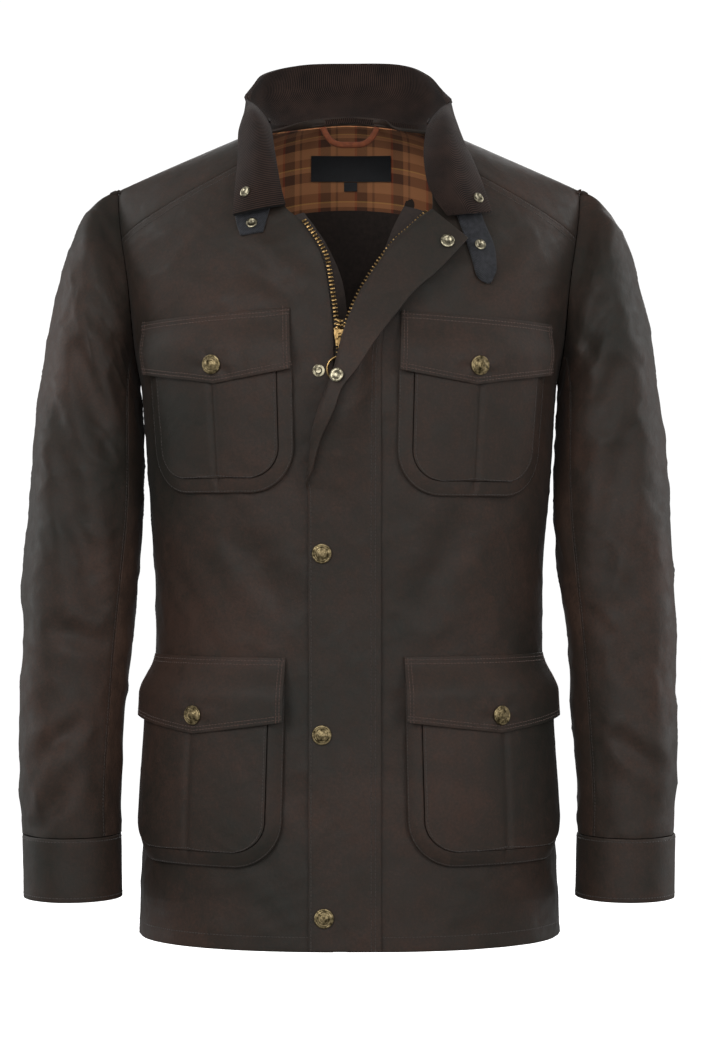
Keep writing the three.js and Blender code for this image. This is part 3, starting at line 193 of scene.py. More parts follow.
def torso(level, turn):
    """The body's outer face: level follows the cloth up to the shoulder ridge at 0, turn goes round it"""
    level, turn = np.broadcast_arrays(np.asarray(level, float), np.asarray(turn, float))
    half, front, back, climb = ring(level)
    s, c = np.sin(np.radians(turn)), np.cos(np.radians(turn))
    reach = (np.abs(s) ** SQUARENESS + np.abs(c) ** SQUARENESS) ** (-1 / SQUARENESS)
    curve = BACK_CURVE + NAPE_CURVE * c * c
    nape = back * np.maximum(1 - climb ** curve, 0) ** (1 / curve)
    depth = np.where(c > 0, front, np.where(climb > 0, nape, back))
    x, y = half * reach * s, -depth * reach * c
    z = level - smooth(climb) * slope_drop(x)
    face = np.where(c > 0, -1, 1)
    sink = fold_depth(BODY_FOLDS, face, x, z) * np.abs(c) ** 0.5
    out_x, out_y = x / half ** 2, y / back ** 2
    length = np.hypot(out_x, out_y) + 1e-12
    return np.stack([x - sink * out_x / length, y - sink * out_y / length, z], axis=-1)


def unit(v):
    return v / (np.linalg.norm(v, axis=-1, keepdims=True) + 1e-12)


def torso_normal(level, turn):
    low, high = np.maximum(level - 1, HEM), np.minimum(level + 1, -0.01)
    across = torso(level, turn + 0.5) - torso(level, turn - 0.5)
    return unit(np.cross(across, torso(high, turn) - torso(low, turn)))


def on_body(level, turn, lift):
    return torso(level, turn) + np.asarray(lift)[..., None] * torso_normal(level, turn)


def solve(low, high, wanted, rising):
    a = np.full(np.shape(wanted), float(low))
    b = np.full(np.shape(wanted), float(high))
    for _ in range(36):
        middle = (a + b) / 2
        less = rising(middle) < wanted
        a, b = np.where(less, middle, a), np.where(less, b, middle)
    return (a + b) / 2


def level_at(x, z):
    x, z = np.broadcast_arrays(np.asarray(x, float), np.asarray(z, float))
    high = solve(ARMPIT - 40, 0, z, lambda level: level - smooth(ring(level)[3]) * slope_drop(x))
    return np.where(z < ARMPIT, z, high)


def turn_at(x, level):
    x, level = np.broadcast_arrays(np.asarray(x, float), np.asarray(level, float))
    half = ring(level)[0]

    def width(turn):
        s, c = np.sin(np.radians(turn)), np.cos(np.radians(turn))
        return half * s * (s ** SQUARENESS + c ** SQUARENESS) ** (-1 / SQUARENESS)

    return np.sign(x) * solve(0, 90, np.abs(x), width)


def on_front(x, z, lift=0.0):
    level = level_at(x, z)
    return on_body(level, turn_at(x, level), lift)


def on_back(x, z, lift=0.0):
    level = level_at(x, z)
    return on_body(level, 180 - turn_at(x, level), lift)


def arm_turn(climb, scoop):
    return 90 - scoop * np.sin(np.pi * np.clip(climb, 0, 1)) ** 0.7


def outer_turn(level, scoop):
    return np.where(level <= ARMPIT, 90, arm_turn((level - ARMPIT) / -ARMPIT, scoop))


def sleeve(side, station, phi):
    """The sleeve's outer face: station runs from armhole to cuff, phi round it, 0 on top, minus to the front"""
    station, phi = np.broadcast_arrays(np.asarray(station, float), np.asarray(phi, float))
    row = row_at(SLEEVE, station)
    out_x, out_z, in_x, in_z, depth, mid_y = (row[..., k] for k in range(6))
    c, s = np.cos(np.radians(phi)), np.sin(np.radians(phi))
    face = np.where(s < 0, -1, 1)
    climb = np.clip((1 + c) / 2, 0, TOP_CLIMB)
    ease = np.sqrt(np.clip(1 - (2 * climb - 1) ** 2, 0, 1)) * face
    x = (out_x + in_x) / 2 + (out_x - in_x) / 2 * c
    y = mid_y + depth * ease
    z = (out_z + in_z) / 2 + (out_z - in_z) / 2 * c
    hold = smooth(1 - station / SLEEVE_BLEND)
    hole = torso(mix(ARMPIT, 0, climb), arm_turn(climb, -face * ARMHOLE_SCOOP))
    start = SLEEVE[0]
    x = x + hold * (hole[..., 0] - ((start[1] + start[3]) / 2 + (start[1] - start[3]) / 2 * c))
    y = y + hold * (hole[..., 1] - start[5] * ease)
    z = z + hold * (hole[..., 2] - ((start[2] + start[4]) / 2 + (start[2] - start[4]) / 2 * c))
    folds = RIGHT_SLEEVE_FOLDS if side < 0 else LEFT_SLEEVE_FOLDS
    y = y - face * np.abs(ease) ** 0.5 * (1 - hold) * fold_depth(folds, face, x, z)
    return np.stack([side * x, y, z], axis=-1)


# Sheets of points: rows go up, columns go round in the order that makes the faces look outwards

def even_rows(grid, count):
    """The same sheet with its rows set out evenly along it"""
    steps = np.linalg.norm(np.diff(grid, axis=0), axis=-1).mean(axis=1)
    run = np.concatenate([[0], np.cumsum(steps)])
    wanted = np.linspace(0, run[-1], count)
    k = np.clip(np.searchsorted(run, wanted) - 1, 0, len(run) - 2)
    t = ((wanted - run[k]) / (run[k + 1] - run[k]))[:, None, None]
    return grid[k] * (1 - t) + grid[k + 1] * t


def even_line(line, count):
    """Points set out evenly along a line of points"""
    return even_rows(np.asarray(line)[:, None, :], count)[:, 0]


def normals_of(grid):
    across, up = np.gradient(grid, axis=1), np.gradient(grid, axis=0)
    return unit(np.cross(across, up))


def trimmed(grid, edges, gap=HALF_SEAM):
    """The sheet with chosen edges pulled back from their seam"""
    out = grid.copy()
    if "first" in edges:
        out[:, 0] += gap * unit(grid[:, 1] - grid[:, 0])
    if "last" in edges:
        out[:, -1] += gap * unit(grid[:, -2] - grid[:, -1])
    if "bottom" in edges:
        out[0] += gap * unit(grid[1] - grid[0])
    if "top" in edges:
        out[-1] += gap * unit(grid[-2] - grid[-1])
    return out


# Seam allowance, as reach and drop in millimetres beyond a sheet's edge, sewn in with the next piece
ALLOWANCE = [(0.3, 0.4), (0.8, 1.1)]
NECK_ALLOWANCE = [(0.5, 0.5), (2, 1), (5, 1.3)]


def edge_up(grid, side):
    """The sheet turned so that the chosen edge is its last row, or turned back again"""
    if side in ("first", "last"):
        grid = grid.transpose(1, 0, *range(2, grid.ndim))
        return grid[::-1] if side == "first" else grid
    return grid[::-1] if side == "bottom" else grid


def edge_back(grid, side):
    if side in ("first", "last"):
        grid = grid[::-1] if side == "first" else grid
        return grid.transpose(1, 0, *range(2, grid.ndim))
    return grid[::-1] if side == "bottom" else grid


def eased(line, times):
    """A line of directions with its sudden turns evened out"""
    for _ in range(times):
        line = np.concatenate([line[:1], (line[:-2] + 2 * line[1:-1] + line[2:]) / 4, line[-1:]])
    return unit(line)


def tucked(grid, sides, allowance=ALLOWANCE):
    """The sheet with the seam allowance that joins it under its neighbours"""
    for side in sides:
        turned, normal = edge_up(grid, side), edge_up(normals_of(grid), side)
        out = eased(unit(turned[-1] - turned[-2]), 12)
        down = eased(normal[-1], 12)
        under = [turned[-1] + reach * out - drop * down for reach, drop in allowance]
        grid = edge_back(np.concatenate([turned, np.stack(under)]), side)
    return grid


# Panels

def edge_table(edge):
    x, z = np.array(edge, float).T
    level = level_at(x, z)
    below = [(HEM, x[0]), (level[0] - 30, x[0])]
    return np.array(below + list(zip(level, x)), float)


def front_point(table, side, level, share):
    inner = turn_at(row_at(table, level)[..., 0], level)
    return torso(level, mix(inner, side * outer_turn(level, ARMHOLE_SCOOP), share))


def front_sheet(side, edge, rows, columns):
    table = edge_table(edge)
    share = np.linspace(0, 1, columns)[None, :]
    level = np.linspace(HEM, STRIP_AT_ARM, rows)[:, None]
    top = mix(STRIP_AT_NECK, STRIP_AT_ARM, share)
    fitted = HEM + (level - HEM) * (top - HEM) / (STRIP_AT_ARM - HEM)
    grid = front_point(table, side, fitted, share)
    if side < 0:
        grid = grid[:, ::-1]
    return trimmed(grid, ["top", "last" if side > 0 else "first"])


def at_ridge(grid, face):
    grid[-1, :, 1] = face * np.maximum(np.abs(grid[-1, :, 1]), RIDGE_GAP)
    return grid


def shoulder_sheet(side, edge, rows, columns):
    table = edge_table(edge)
    share = np.linspace(0, 1, columns)[None, :]
    climb = 1 - (1 - STRIP_CLIMB) * np.linspace(1, 0, 90)[:, None] ** 2
    level = mix(ARMPIT, 0, np.minimum(climb, TOP_CLIMB))
    lift = (1 - share) * (STRIP_AT_NECK - STRIP_AT_ARM)
    fitted = np.minimum(level + lift * level / STRIP_AT_ARM, mix(ARMPIT, 0, TOP_CLIMB))
    grid = even_rows(front_point(table, side, fitted, share), rows)
    if side < 0:
        grid = grid[:, ::-1]
    return at_ridge(trimmed(grid, ["bottom", "top", "last" if side > 0 else "first"]), -1)


def nape_level(x):
    share = np.clip(1 - np.abs(x) / NECK_X, 0, 1)
    depth = NAPE_Y * np.sqrt(1 - (1 - share) ** 2)
    curve = BACK_CURVE + NAPE_CURVE * 0.9
    return mix(ARMPIT, 0, np.minimum(1 - (depth / CHEST_BACK) ** curve, 0.9999) ** (1 / curve))


def back_point(level, share):
    """The back by level and by share of its width, 1 at the left side seam and -1 at the right"""
    level, share = np.broadcast_arrays(np.asarray(level, float), np.asarray(share, float))

    def turn_across(at):
        return 180 - share * (180 - outer_turn(at, -ARMHOLE_SCOOP))

    top_x = torso(-1.0, turn_across(-1.0))[..., 0]
    ceiling = np.where(np.abs(top_x) < NECK_X, nape_level(top_x), -0.0001)
    fitted = np.where(level <= ARMPIT, level, mix(ARMPIT, ceiling, (level - ARMPIT) / -ARMPIT))
    at = mix(fitted, level, smooth((np.abs(share) - 0.9) / 0.1))
    return torso(fitted, turn_across(at))


def back_sheet(rows, columns):
    share = np.linspace(1, -1, columns)[None, :]
    climb = 1 - np.linspace(1, 0, 240)[:, None] ** 3
    levels = np.concatenate([np.linspace(HEM, ARMPIT - 2, 160)[:, None], mix(ARMPIT, 0, np.minimum(climb, TOP_CLIMB))])
    grid = trimmed(even_rows(back_point(levels, share), rows), ["first", "last", "top"])
    x = grid[-1, :, 0]
    ridge = np.stack([x, np.full_like(x, RIDGE_GAP), -slope_drop(x)], axis=-1)
    grid[-1] = np.where(np.abs(x)[:, None] > NECK_X - 1, ridge, grid[-1])
    return grid


# Where the sleeve's two seams run, round it from its top
FRONT_SEAM = -140.0
BACK_SEAM = 118.7


def sleeve_sheet(side, start, end, rows, columns):
    phi = np.linspace(start, end, columns)[None, :]
    station = np.linspace(1, 0, rows)[:, None]
    grid = sleeve(side, station, phi)
    if side < 0:
        grid = grid[:, ::-1]
    return trimmed(grid, ["first", "last", "top", "bottom"])


def cuff_sheet(side, rows, columns):
    phi = np.linspace(-180, 180, columns)[None, :]
    share = np.linspace(1, 0, rows)[:, None]
    point = sleeve(side, np.ones_like(share), phi)
    wrist = SLEEVE[-1]
    middle = np.array([side * (wrist[1] + wrist[3]) / 2, wrist[6], 0])
    away = (point - middle) * np.array([1, 1, 0])
    point = point + 0.8 * unit(away)
    point[..., 0] -= side * share * 1.5
    point[..., 1] -= share * 3
    point[..., 2] -= 0.4 + share * (CUFF_DROP - 0.4)
    return point if side > 0 else point[:, ::-1]


# Collar, by place along the neck: sewn edge, free edge, and how far it rolls between them
COLLAR = np.array([
    (0, -57, -104.5, -77, -105, -101, -86, 0, -7, 0),
    (1, -62, -96, -57, -104, -86, -61, 0, -9, 3),
    (2, -67, -76, -28, -102.5, -58, -30, 0, -8, 12),
    (3, -71, -50, -3, -103, -28, -1, -2, -4, 17),
    (4, -75, -16, 10.5, -100, -3, 14, -4, 0, 16),
    (5, -76, 12, 12, -95, 18, 34, -9, 2, 12),
    (6, -72, 38, 12.5, -87.5, 40, 54, -9, 5, 5),
    (7, -61, 56, 15, -77, 62, 68, -6, 6, 2),
    (8, -36, 67, 20, -46, 86, 80, -2, 6, 0),
    (9, 0, 70.5, 23.6, 0, 95, 83, 0, 5, 0),
    (10, 36, 67, 20, 49, 84, 80, 2, 6, 0),
    (11, 61, 56, 15, 72, 60, 66, 6, 6, 2),
    (12, 72, 38, 12.5, 84, 36, 49, 9, 5, 5),
    (13, 76, 12, 12, 94, 14, 28, 9, 2, 12),
    (14, 75, -16, 10.5, 101, -6, 9, 4, 0, 16),
    (15, 71, -50, -3, 107, -30, -10, 2, -4, 17),
    (16, 68, -76, -28, 115, -56, -32, 0, -8, 12),
    (17, 71, -97, -57, 122, -75, -54, 0, -8, 3),
    (18, 80, -105, -76, 127, -86, -72, 0, -7, 0),
    (19, 89, -106, -88, 130, -90, -82, 0, -5, 0),
], float)
COLLAR_THICK = 3
STAND_FROM = 3.6
STAND_TO = 14.6
STAND_ABOVE = 2.5
STAND_MIDDLE_Y = -10
# How far the stand goes down, by place along the neck
STAND_DEEP = [(3.6, 0), (5, 9), (6.5, 8), (7.5, 3.5), (9, 2), (10.5, 3.5), (11.5, 8), (13, 9), (14.6, 0)]


def collar_point(at, share):
    at, share = np.broadcast_arrays(np.asarray(at, float), np.asarray(share, float))
    row = row_at(COLLAR, at)
    bend = (4 * share * (1 - share))[..., None]
    return mix(row[..., 0:3], row[..., 3:6], share[..., None]) + bend * row[..., 6:9]


def collar_sheet(rows, columns):
    at = np.linspace(0, len(COLLAR) - 1, 400)[:, None]
    return even_rows(collar_point(at, np.linspace(1, 0, columns)[None, :]), rows)


def stand_sheet(rows, columns):
    """The collar's stand, which goes down inside the neck seam at the sides and back"""
    at = np.linspace(STAND_FROM, STAND_TO, 200)[:, None]
    deep = np.interp(at, *np.transpose(STAND_DEEP))
    edge = collar_point(at, np.zeros_like(at))
    inwards = unit((np.array([0, STAND_MIDDLE_Y, 0]) - edge) * np.array([1, 1, 0]))
    down = mix(-STAND_ABOVE, deep, np.linspace(0, 1, columns)[None, :])
    grid = edge + 0.8 * inwards - down[..., None] * np.array([0, 0, 1.0])
    return even_rows(grid, rows)


# Facings and tapes of the opened neck: x and z of the outer line, then of the inner line
FACING_RIGHT = [(-19, -199, -3, -199), (-24, -167, -2, -172), (-28, -140, -7, -140),
                (-34, -120, -20, -110), (-44, -102, -32, -91), (-56, -88, -43, -76)]
FACING_LEFT = [(3, -199, -2, -199), (15, -167, 5.5, -170), (31, -141, 20, -143),
               (51, -114, 32, -116), (68, -98, 42, -91), (80, -84, 53, -69)]
TEETH_RIGHT = [(ZIP_X, HEM + 3), (ZIP_X, -400), (ZIP_X, -198), (-11.5, -190), (-14, -167),
               (-18, -140), (-22, -122), (-33, -103), (-43, -89)]
TEETH_LEFT = [(ZIP_X, HEM + 3), (ZIP_X, -400), (ZIP_X, -198), (-3, -190), (6, -167),
              (21, -140), (41, -112), (58, -96), (72, -82)]
TAPE_WIDE = 12
TAPE_LIFT = -3.4


def along(rows, places):
    table = np.array([(k, *row) for k, row in enumerate(rows)], float)
    return row_at(table, places)


def facing_sheet(side, rows_of, rows, columns):
    row = along(rows_of, np.linspace(0, len(rows_of) - 1, rows))[:, None, :]
    share = np.linspace(0, 1, columns)[None, :]
    grid = on_front(mix(row[..., 0], row[..., 2], share), mix(row[..., 1], row[..., 3], share), -5 - 11 * share ** 1.5)
    return grid if side < 0 else grid[:, ::-1]


def tape_sheet(side, rows_of, rows, columns):
    row = along(rows_of, np.linspace(0, len(rows_of) - 1, rows))[:, None, :]
    away = np.linspace(0.4, TAPE_WIDE, columns)[None, :]
    grid = on_front(row[..., 0] + side * away, row[..., 1] + 0 * away, np.full((rows, columns), TAPE_LIFT))
    grid = grid if side > 0 else grid[:, ::-1]
    return even_rows(grid, rows)


# Storm flap, from hem to its turned top: x and z of sewn edge, roll line and free edge, and its rise
FLAP = [
    (29, -745.5, -36, -745.5, -36, -745.5, 0.5),
    (29, -610, -36, -610, -36, -610, 0.5),
    (29, -480, -36, -480, -36, -480, 0.5),
    (29, -357, -36, -355, -36, -355, 1.5),
    (29, -327, -35, -325, -32, -323, 4),
    (29, -298, -32, -293, -24, -291, 8),
    (29, -273, -26, -268, -13, -266, 12),
    (29, -249, -19, -248, -5, -244, 13),
    (29, -227, -11, -226, 8, -228, 13),
    (30, -204, -4, -200, 24, -204, 12),
    (34, -178, 6, -172, 42, -180, 8),
    (44, -153, 22, -143, 58, -160, 5),
    (62, -127, 42, -114, 79, -141, 4),
    (88, -104, 73, -87, 104, -114, 4),
]
ROLL_RADIUS = 2.4


def flap_row(at, columns):
    """One row across the flap: flat from the seam, round the roll, and back to the free edge"""
    seam_x, seam_z, roll_x, roll_z, edge_x, edge_z, rise = along(FLAP, at)
    ahead = np.array([roll_x - seam_x, roll_z - seam_z])
    reach = math.hypot(*ahead)
    ahead = ahead / reach
    curl = float(smooth(math.hypot(edge_x - roll_x, edge_z - roll_z) / (2 * ROLL_RADIUS)))
    start = reach - curl * ROLL_RADIUS
    share = np.linspace(0, 1, 16)
    bend = np.radians(np.linspace(10, 180, 18)) * curl
    run = np.concatenate([start * share, start + ROLL_RADIUS * np.sin(bend)])
    lift = np.concatenate([mix(0.5, rise, smooth(share * 1.6)), rise + ROLL_RADIUS * (1 - np.cos(bend))])
    x, z = seam_x + ahead[0] * run, seam_z + ahead[1] * run
    if curl > 0.9:
        top = rise + ROLL_RADIUS * (1 - math.cos(math.pi * curl))
        far = np.linspace(0.1, 1, 10)
        x = np.concatenate([x, mix(roll_x - ahead[0] * curl * ROLL_RADIUS, edge_x, far)])
        z = np.concatenate([z, mix(roll_z - ahead[1] * curl * ROLL_RADIUS, edge_z, far)])
        lift = np.concatenate([lift, top + far * 1.5])
    return even_line(on_front(x, z, lift + FLAP_CLOTH), columns)[::-1]


def flap_sheet(rows, columns):
    places = np.concatenate([np.linspace(0, 3, 40), np.linspace(3.05, len(FLAP) - 1, 100)])
    return even_rows(np.stack([flap_row(at, columns) for at in places]), rows)


# Tabs: z, then left and right x, and how much higher the left end is
TAB_CLOTH = 2.4
THROAT_TAB = [(-149.5, 124, 128, 0), (-146, 118.5, 131, 2), (-140, 113.5, 133.5, 5),
              (-122, 108.5, 130, 6), (-102, 102.5, 123.5, 4), (-85, 96.5, 118, 3)]
TAB_STUB = [(-106, -97, -77, 3), (-95, -101, -74, 4), (-85, -103, -71, 5)]


def tab_sheet(rows_of, lift, rows, columns):
    row = along(rows_of, np.linspace(0, len(rows_of) - 1, rows))[:, None, :]
    share = np.linspace(0, 1, columns)[None, :]
    x, z = mix(row[..., 1], row[..., 2], share), row[..., 0] + share * row[..., 3]
    return on_front(x, z, np.full((rows, columns), lift + TAB_CLOTH))


# Lining inside the back, by the back's own level and share
LINING_LIFT = -SHELL - 0.7
LINING_THICK = 1.2
LINING_FOOT = -328
YOKE_LEVEL = -73.8
LINING_SHARE = 4 / 7
LOOP_X = 1
LOOP_HALF = 26
LOOP_TOP = 15.5
LOOP_DROP = 17
LOOP_Y = 61.1
LOOP_BOW = 3.7


def lining_sheet(low, high, rows, columns):
    level = np.linspace(low, high, rows)[:, None]
    share = np.linspace(LINING_SHARE, -LINING_SHARE, columns)[None, :]
    grid = even_rows(back_point(level, share), rows)
    return grid + LINING_LIFT * normals_of(grid)


def loop_sheet(rows, sides):
    """The hanger loop: a tube of binding from one end, round its hanging bow, to the other"""
    share = np.linspace(-1, 1, rows)
    hang = 1 - share ** 4
    middle = np.stack([LOOP_X + LOOP_HALF * share, LOOP_Y - LOOP_BOW * hang, LOOP_TOP - LOOP_DROP * hang], axis=-1)
    middle = even_line(middle, rows)
    ahead = unit(np.gradient(middle, axis=0))
    flat = unit(np.cross(ahead, np.array([0.0, -1, 0])))
    round_it = np.linspace(0, 2 * np.pi, sides)[:, None, None]
    out = unit(np.cross(flat, ahead))
    grid = middle + 2.4 * np.cos(round_it) * flat + 1.5 * np.sin(round_it) * out
    return grid.transpose(1, 0, 2)


def label_sheet(left, right, low, high, rows, columns):
    z = np.linspace(low, high, rows)[:, None]
    x = np.linspace(right, left, columns)[None, :]
    x, z = np.broadcast_arrays(x, z)
    return on_back(x, z, np.full((rows, columns), LINING_LIFT - LINING_THICK - 0.9))


# Pockets
GUSSET_WIDE = 14
CORNER = 28
FACE_TOP = 24
FACE_CLOTH = 1.6
GUSSET_CLOTH = 1.5
GUSSET_LIFT = 2
POINT_INWARDS = 5
PLEAT_INWARDS = 1
CHEST = dict(deep=5.5, belly=2, bottom=149, inset=0)
LOWER = dict(deep=9, belly=3, bottom=174, inset=7)
POCKETS = [
    dict(word="chest_right", side=-1, top=-175, inner_x=50, outer=61, flap_side=53, flap_point=65, **CHEST),
    dict(word="chest_left", side=1, top=-178, inner_x=44, outer=59, flap_side=51, flap_point=63, **CHEST),
    dict(word="lower_right", side=-1, top=-485, inner_x=57, outer=76, flap_side=58, flap_point=70, **LOWER),
    dict(word="lower_left", side=1, top=-484, inner_x=50, outer=76, flap_side=59, flap_point=70, **LOWER),
]


class Pocket:
    """A pocket's cloth, by distances across from its middle and down from its top"""

    def __init__(self, **sizes):
        self.__dict__.update(sizes)
        level = self.top - 60.0
        inner = float(turn_at(self.inner_x, level))
        ends = (inner, self.outer) if self.side > 0 else (-self.outer, -inner)
        self.turns = np.linspace(*ends, 200)
        points = torso(level, self.turns)
        self.reach = np.concatenate([[0], np.cumsum(np.linalg.norm(np.diff(points, axis=0), axis=1))])
        self.wide = self.reach[-1]

    def on(self, across, down, lift):
        turn = np.interp(across + self.wide / 2, self.reach, self.turns)
        return on_body(self.top - down, turn, lift)

    def bag_half(self, down):
        over = np.clip(down - (self.bottom - CORNER), 0, CORNER)
        return self.wide / 2 - GUSSET_WIDE - CORNER + np.sqrt(CORNER ** 2 - over ** 2)

    def face_lift(self, across, down):
        pleat = 2 * np.exp(-(((across + self.side * PLEAT_INWARDS) / 3) ** 2))
        belly = self.belly * np.sin(np.pi * np.clip(down / self.bottom, 0, 1)) * (1 - (2 * across / self.wide) ** 2)
        rise = smooth((down - 10) / 50)
        return mix(4, self.deep, rise) + rise * (belly - pleat * smooth((down - 40) / 20))

    def flap_inner(self, down):
        return 0.7 + (self.deep + self.belly + 1.2) * smooth(down / 38)

    def face_sheet(self, rows, columns):
        bend = np.radians(np.linspace(0, 88, rows // 4))
        downs = np.concatenate([
            np.linspace(FACE_TOP, self.bottom - CORNER, rows - len(bend))[:-1],
            self.bottom - CORNER + CORNER * np.sin(bend),
        ])[::-1]
        share = np.linspace(-1, 1, columns)
        share = share - 0.25 * share * np.exp(-((share / 0.25) ** 2))
        down = downs[:, None] + 0 * share[None, :]
        across = share[None, :] * self.bag_half(downs)[:, None]
        return self.on(across, down, self.face_lift(across, down) + FACE_CLOTH)

    def path(self):
        """The bag's outline from its right top round the bottom to its left top: across, down, angle"""
        full = self.bag_half(0)
        down = np.linspace(FACE_TOP, self.bottom - CORNER, 40)
        bend = np.linspace(2, 88, 16)
        corner_a = full - CORNER + CORNER * np.cos(np.radians(bend))
        corner_d = self.bottom - CORNER + CORNER * np.sin(np.radians(bend))
        flat = np.linspace(full - CORNER - 2, 0, 30)
        a = np.concatenate([np.full(40, full), corner_a, flat])
        d = np.concatenate([down, corner_d, np.full(30, self.bottom)])
        angle = np.concatenate([np.zeros(40), bend, np.full(30, 90.0)])
        mirrored = np.stack([-a, d, 180 - angle], axis=1)
        return np.concatenate([mirrored, np.stack([a, d, angle], axis=1)[::-1][1:]])

    def gusset_sheet(self, rows):
        path = self.path()
        a, d, angle = path[:, 0][None, :], path[:, 1][None, :], np.radians(path[:, 2])[None, :]
        share = np.linspace(1, 0.02, rows)[:, None]
        lift = mix(self.face_lift(a, d) - 0.3, GUSSET_LIFT + GUSSET_CLOTH, share ** 1.6)
        wide = GUSSET_WIDE * share
        return self.on(a + wide * np.cos(angle), d + wide * np.sin(angle), lift)

    def flap_sheet(self, rows, columns):
        place = np.linspace(-1, 1, columns)[None, :]
        share = np.linspace(1, 0, rows)[:, None]
        down = share * mix(self.flap_point, self.flap_side, np.abs(place))
        inner_end, outer_end = -self.side * self.wide / 2, self.side * (self.wide / 2 - self.inset)
        end = np.where(self.side * place < 0, inner_end, outer_end)
        across = mix(-self.side * POINT_INWARDS, end, np.abs(place)) + 0 * share
        # Small puckers round the cap, where it pulls the flap in
        beside, under = across + self.side * POINT_INWARDS, down - (self.flap_side - 5)
        away, way = np.hypot(beside, under), np.arctan2(under, beside)
        pucker = 0.7 * np.exp(-(((away - 12) / 8) ** 2)) * np.cos(5 * way + 0.6)
        return self.on(across, down, self.flap_inner(down) + SHELL + np.minimum(pucker, 0.4) - 0.3 * (away < 30))


# Colours and materials

def linear(hex_colour):
    """An sRGB hex colour as linear light"""
    parts = [int(hex_colour[k:k + 2], 16) / 255 for k in (1, 3, 5)]
    return (*[p / 12.92 if p <= 0.04045 else ((p + 0.055) / 1.055) ** 2.4 for p in parts], 1)


def add(tree, kind, inputs=None, **settings):
    """Adds a node with its settings; an input is a value or another node's socket"""
    made = tree.nodes.new(kind)
    for name, value in settings.items():
        setattr(made, name, value)
    for name, value in (inputs or {}).items():
        if isinstance(value, bpy.types.NodeSocket):
            tree.links.new(value, made.inputs[name])
        else:
            made.inputs[name].default_value = value
    return made


def new_material(name, **shader):
    material = bpy.data.materials.new(name)
    material.use_nodes = True
    tree = material.node_tree
    principled = tree.nodes["Principled BSDF"]
    for socket, value in shader.items():
        principled.inputs[socket.replace("_", " ")].default_value = value
    return material, tree, principled


def ramp(tree, fac, stops, interpolation="LINEAR"):
    made = add(tree, "ShaderNodeValToRGB", {"Fac": fac})
    made.color_ramp.interpolation = interpolation
    elements = made.color_ramp.elements
    while len(elements) < len(stops):
        elements.new(0.5)
    for element, (place, value) in zip(elements, stops):
        element.position = place
        element.color = linear(value)
    return made.outputs["Color"]


def waxed_cotton(name, dark, base, warm, roughness):
    """Tightly woven cotton dressed with wax: nearly black in its hollows, a soft sheen where the
    cloth turns to the light, mottled where the wax has cracked along fine creases"""
    material, tree, shader = new_material(name, Roughness=roughness, Specular_IOR_Level=0.24,
                                          Sheen_Weight=0.03, Sheen_Roughness=0.5)
    place = add(tree, "ShaderNodeTexCoord").outputs["Object"]
    broad = add(tree, "ShaderNodeTexNoise", {"Vector": place, "Scale": 7.0, "Detail": 4.0, "Roughness": 0.6})
    fine = add(tree, "ShaderNodeTexNoise", {"Vector": place, "Scale": 90.0, "Detail": 6.0, "Roughness": 0.65})
    grain = add(tree, "ShaderNodeTexNoise", {"Vector": place, "Scale": 420.0, "Detail": 3.0, "Roughness": 0.7})
    tone = add(tree, "ShaderNodeMath", {0: broad.outputs["Fac"], 1: 0.5}, operation="MULTIPLY")
    tone = add(tree, "ShaderNodeMath", {0: fine.outputs["Fac"], 1: 0.2, 2: tone.outputs[0]}, operation="MULTIPLY_ADD")
    tone = add(tree, "ShaderNodeMath", {0: grain.outputs["Fac"], 1: 0.3, 2: tone.outputs[0]}, operation="MULTIPLY_ADD")
    colour = ramp(tree, tone.outputs[0], [(0.39, dark), (0.5, base), (0.61, warm)])
    tree.links.new(colour, shader.inputs["Base Color"])
    gloss = add(tree, "ShaderNodeMapRange", {"Value": fine.outputs["Fac"], "From Min": 0.3, "From Max": 0.7,
                                             "To Min": roughness - 0.07, "To Max": roughness + 0.1})
    tree.links.new(gloss.outputs["Result"], shader.inputs["Roughness"])
    # Handling creases of about 15 mm, then threads: 0.5 mm in the cloth, drawn at about 1 mm so that they show
    crease = add(tree, "ShaderNodeTexNoise", {"Vector": place, "Scale": 48.0, "Detail": 3.0, "Roughness": 0.55,
                                              "Distortion": 0.6})
    crease_bump = add(tree, "ShaderNodeBump", {"Strength": 0.3, "Distance": 0.0018,
                                               "Height": crease.outputs["Fac"]})
    threads = add(tree, "ShaderNodeTexNoise", {"Vector": place, "Scale": 900.0, "Detail": 2.0})
    thread_bump = add(tree, "ShaderNodeBump", {"Strength": 0.2, "Distance": 0.0004,
                                               "Height": threads.outputs["Fac"],
                                               "Normal": crease_bump.outputs["Normal"]})
    tree.links.new(thread_bump.outputs["Normal"], shader.inputs["Normal"])
    return material


def uv_parts(tree):
    split = add(tree, "ShaderNodeSeparateXYZ", {"Vector": add(tree, "ShaderNodeTexCoord").outputs["UV"]})
    return split.outputs["X"], split.outputs["Y"]


def fraction(tree, value, period, shift=0.0):
    """How far a length has gone through its pattern's period, from 0 to 1"""
    turns = add(tree, "ShaderNodeMath", {0: value, 1: 1 / period, 2: shift}, operation="MULTIPLY_ADD")
    return add(tree, "ShaderNodeMath", {0: turns.outputs[0]}, operation="FRACT").outputs[0]


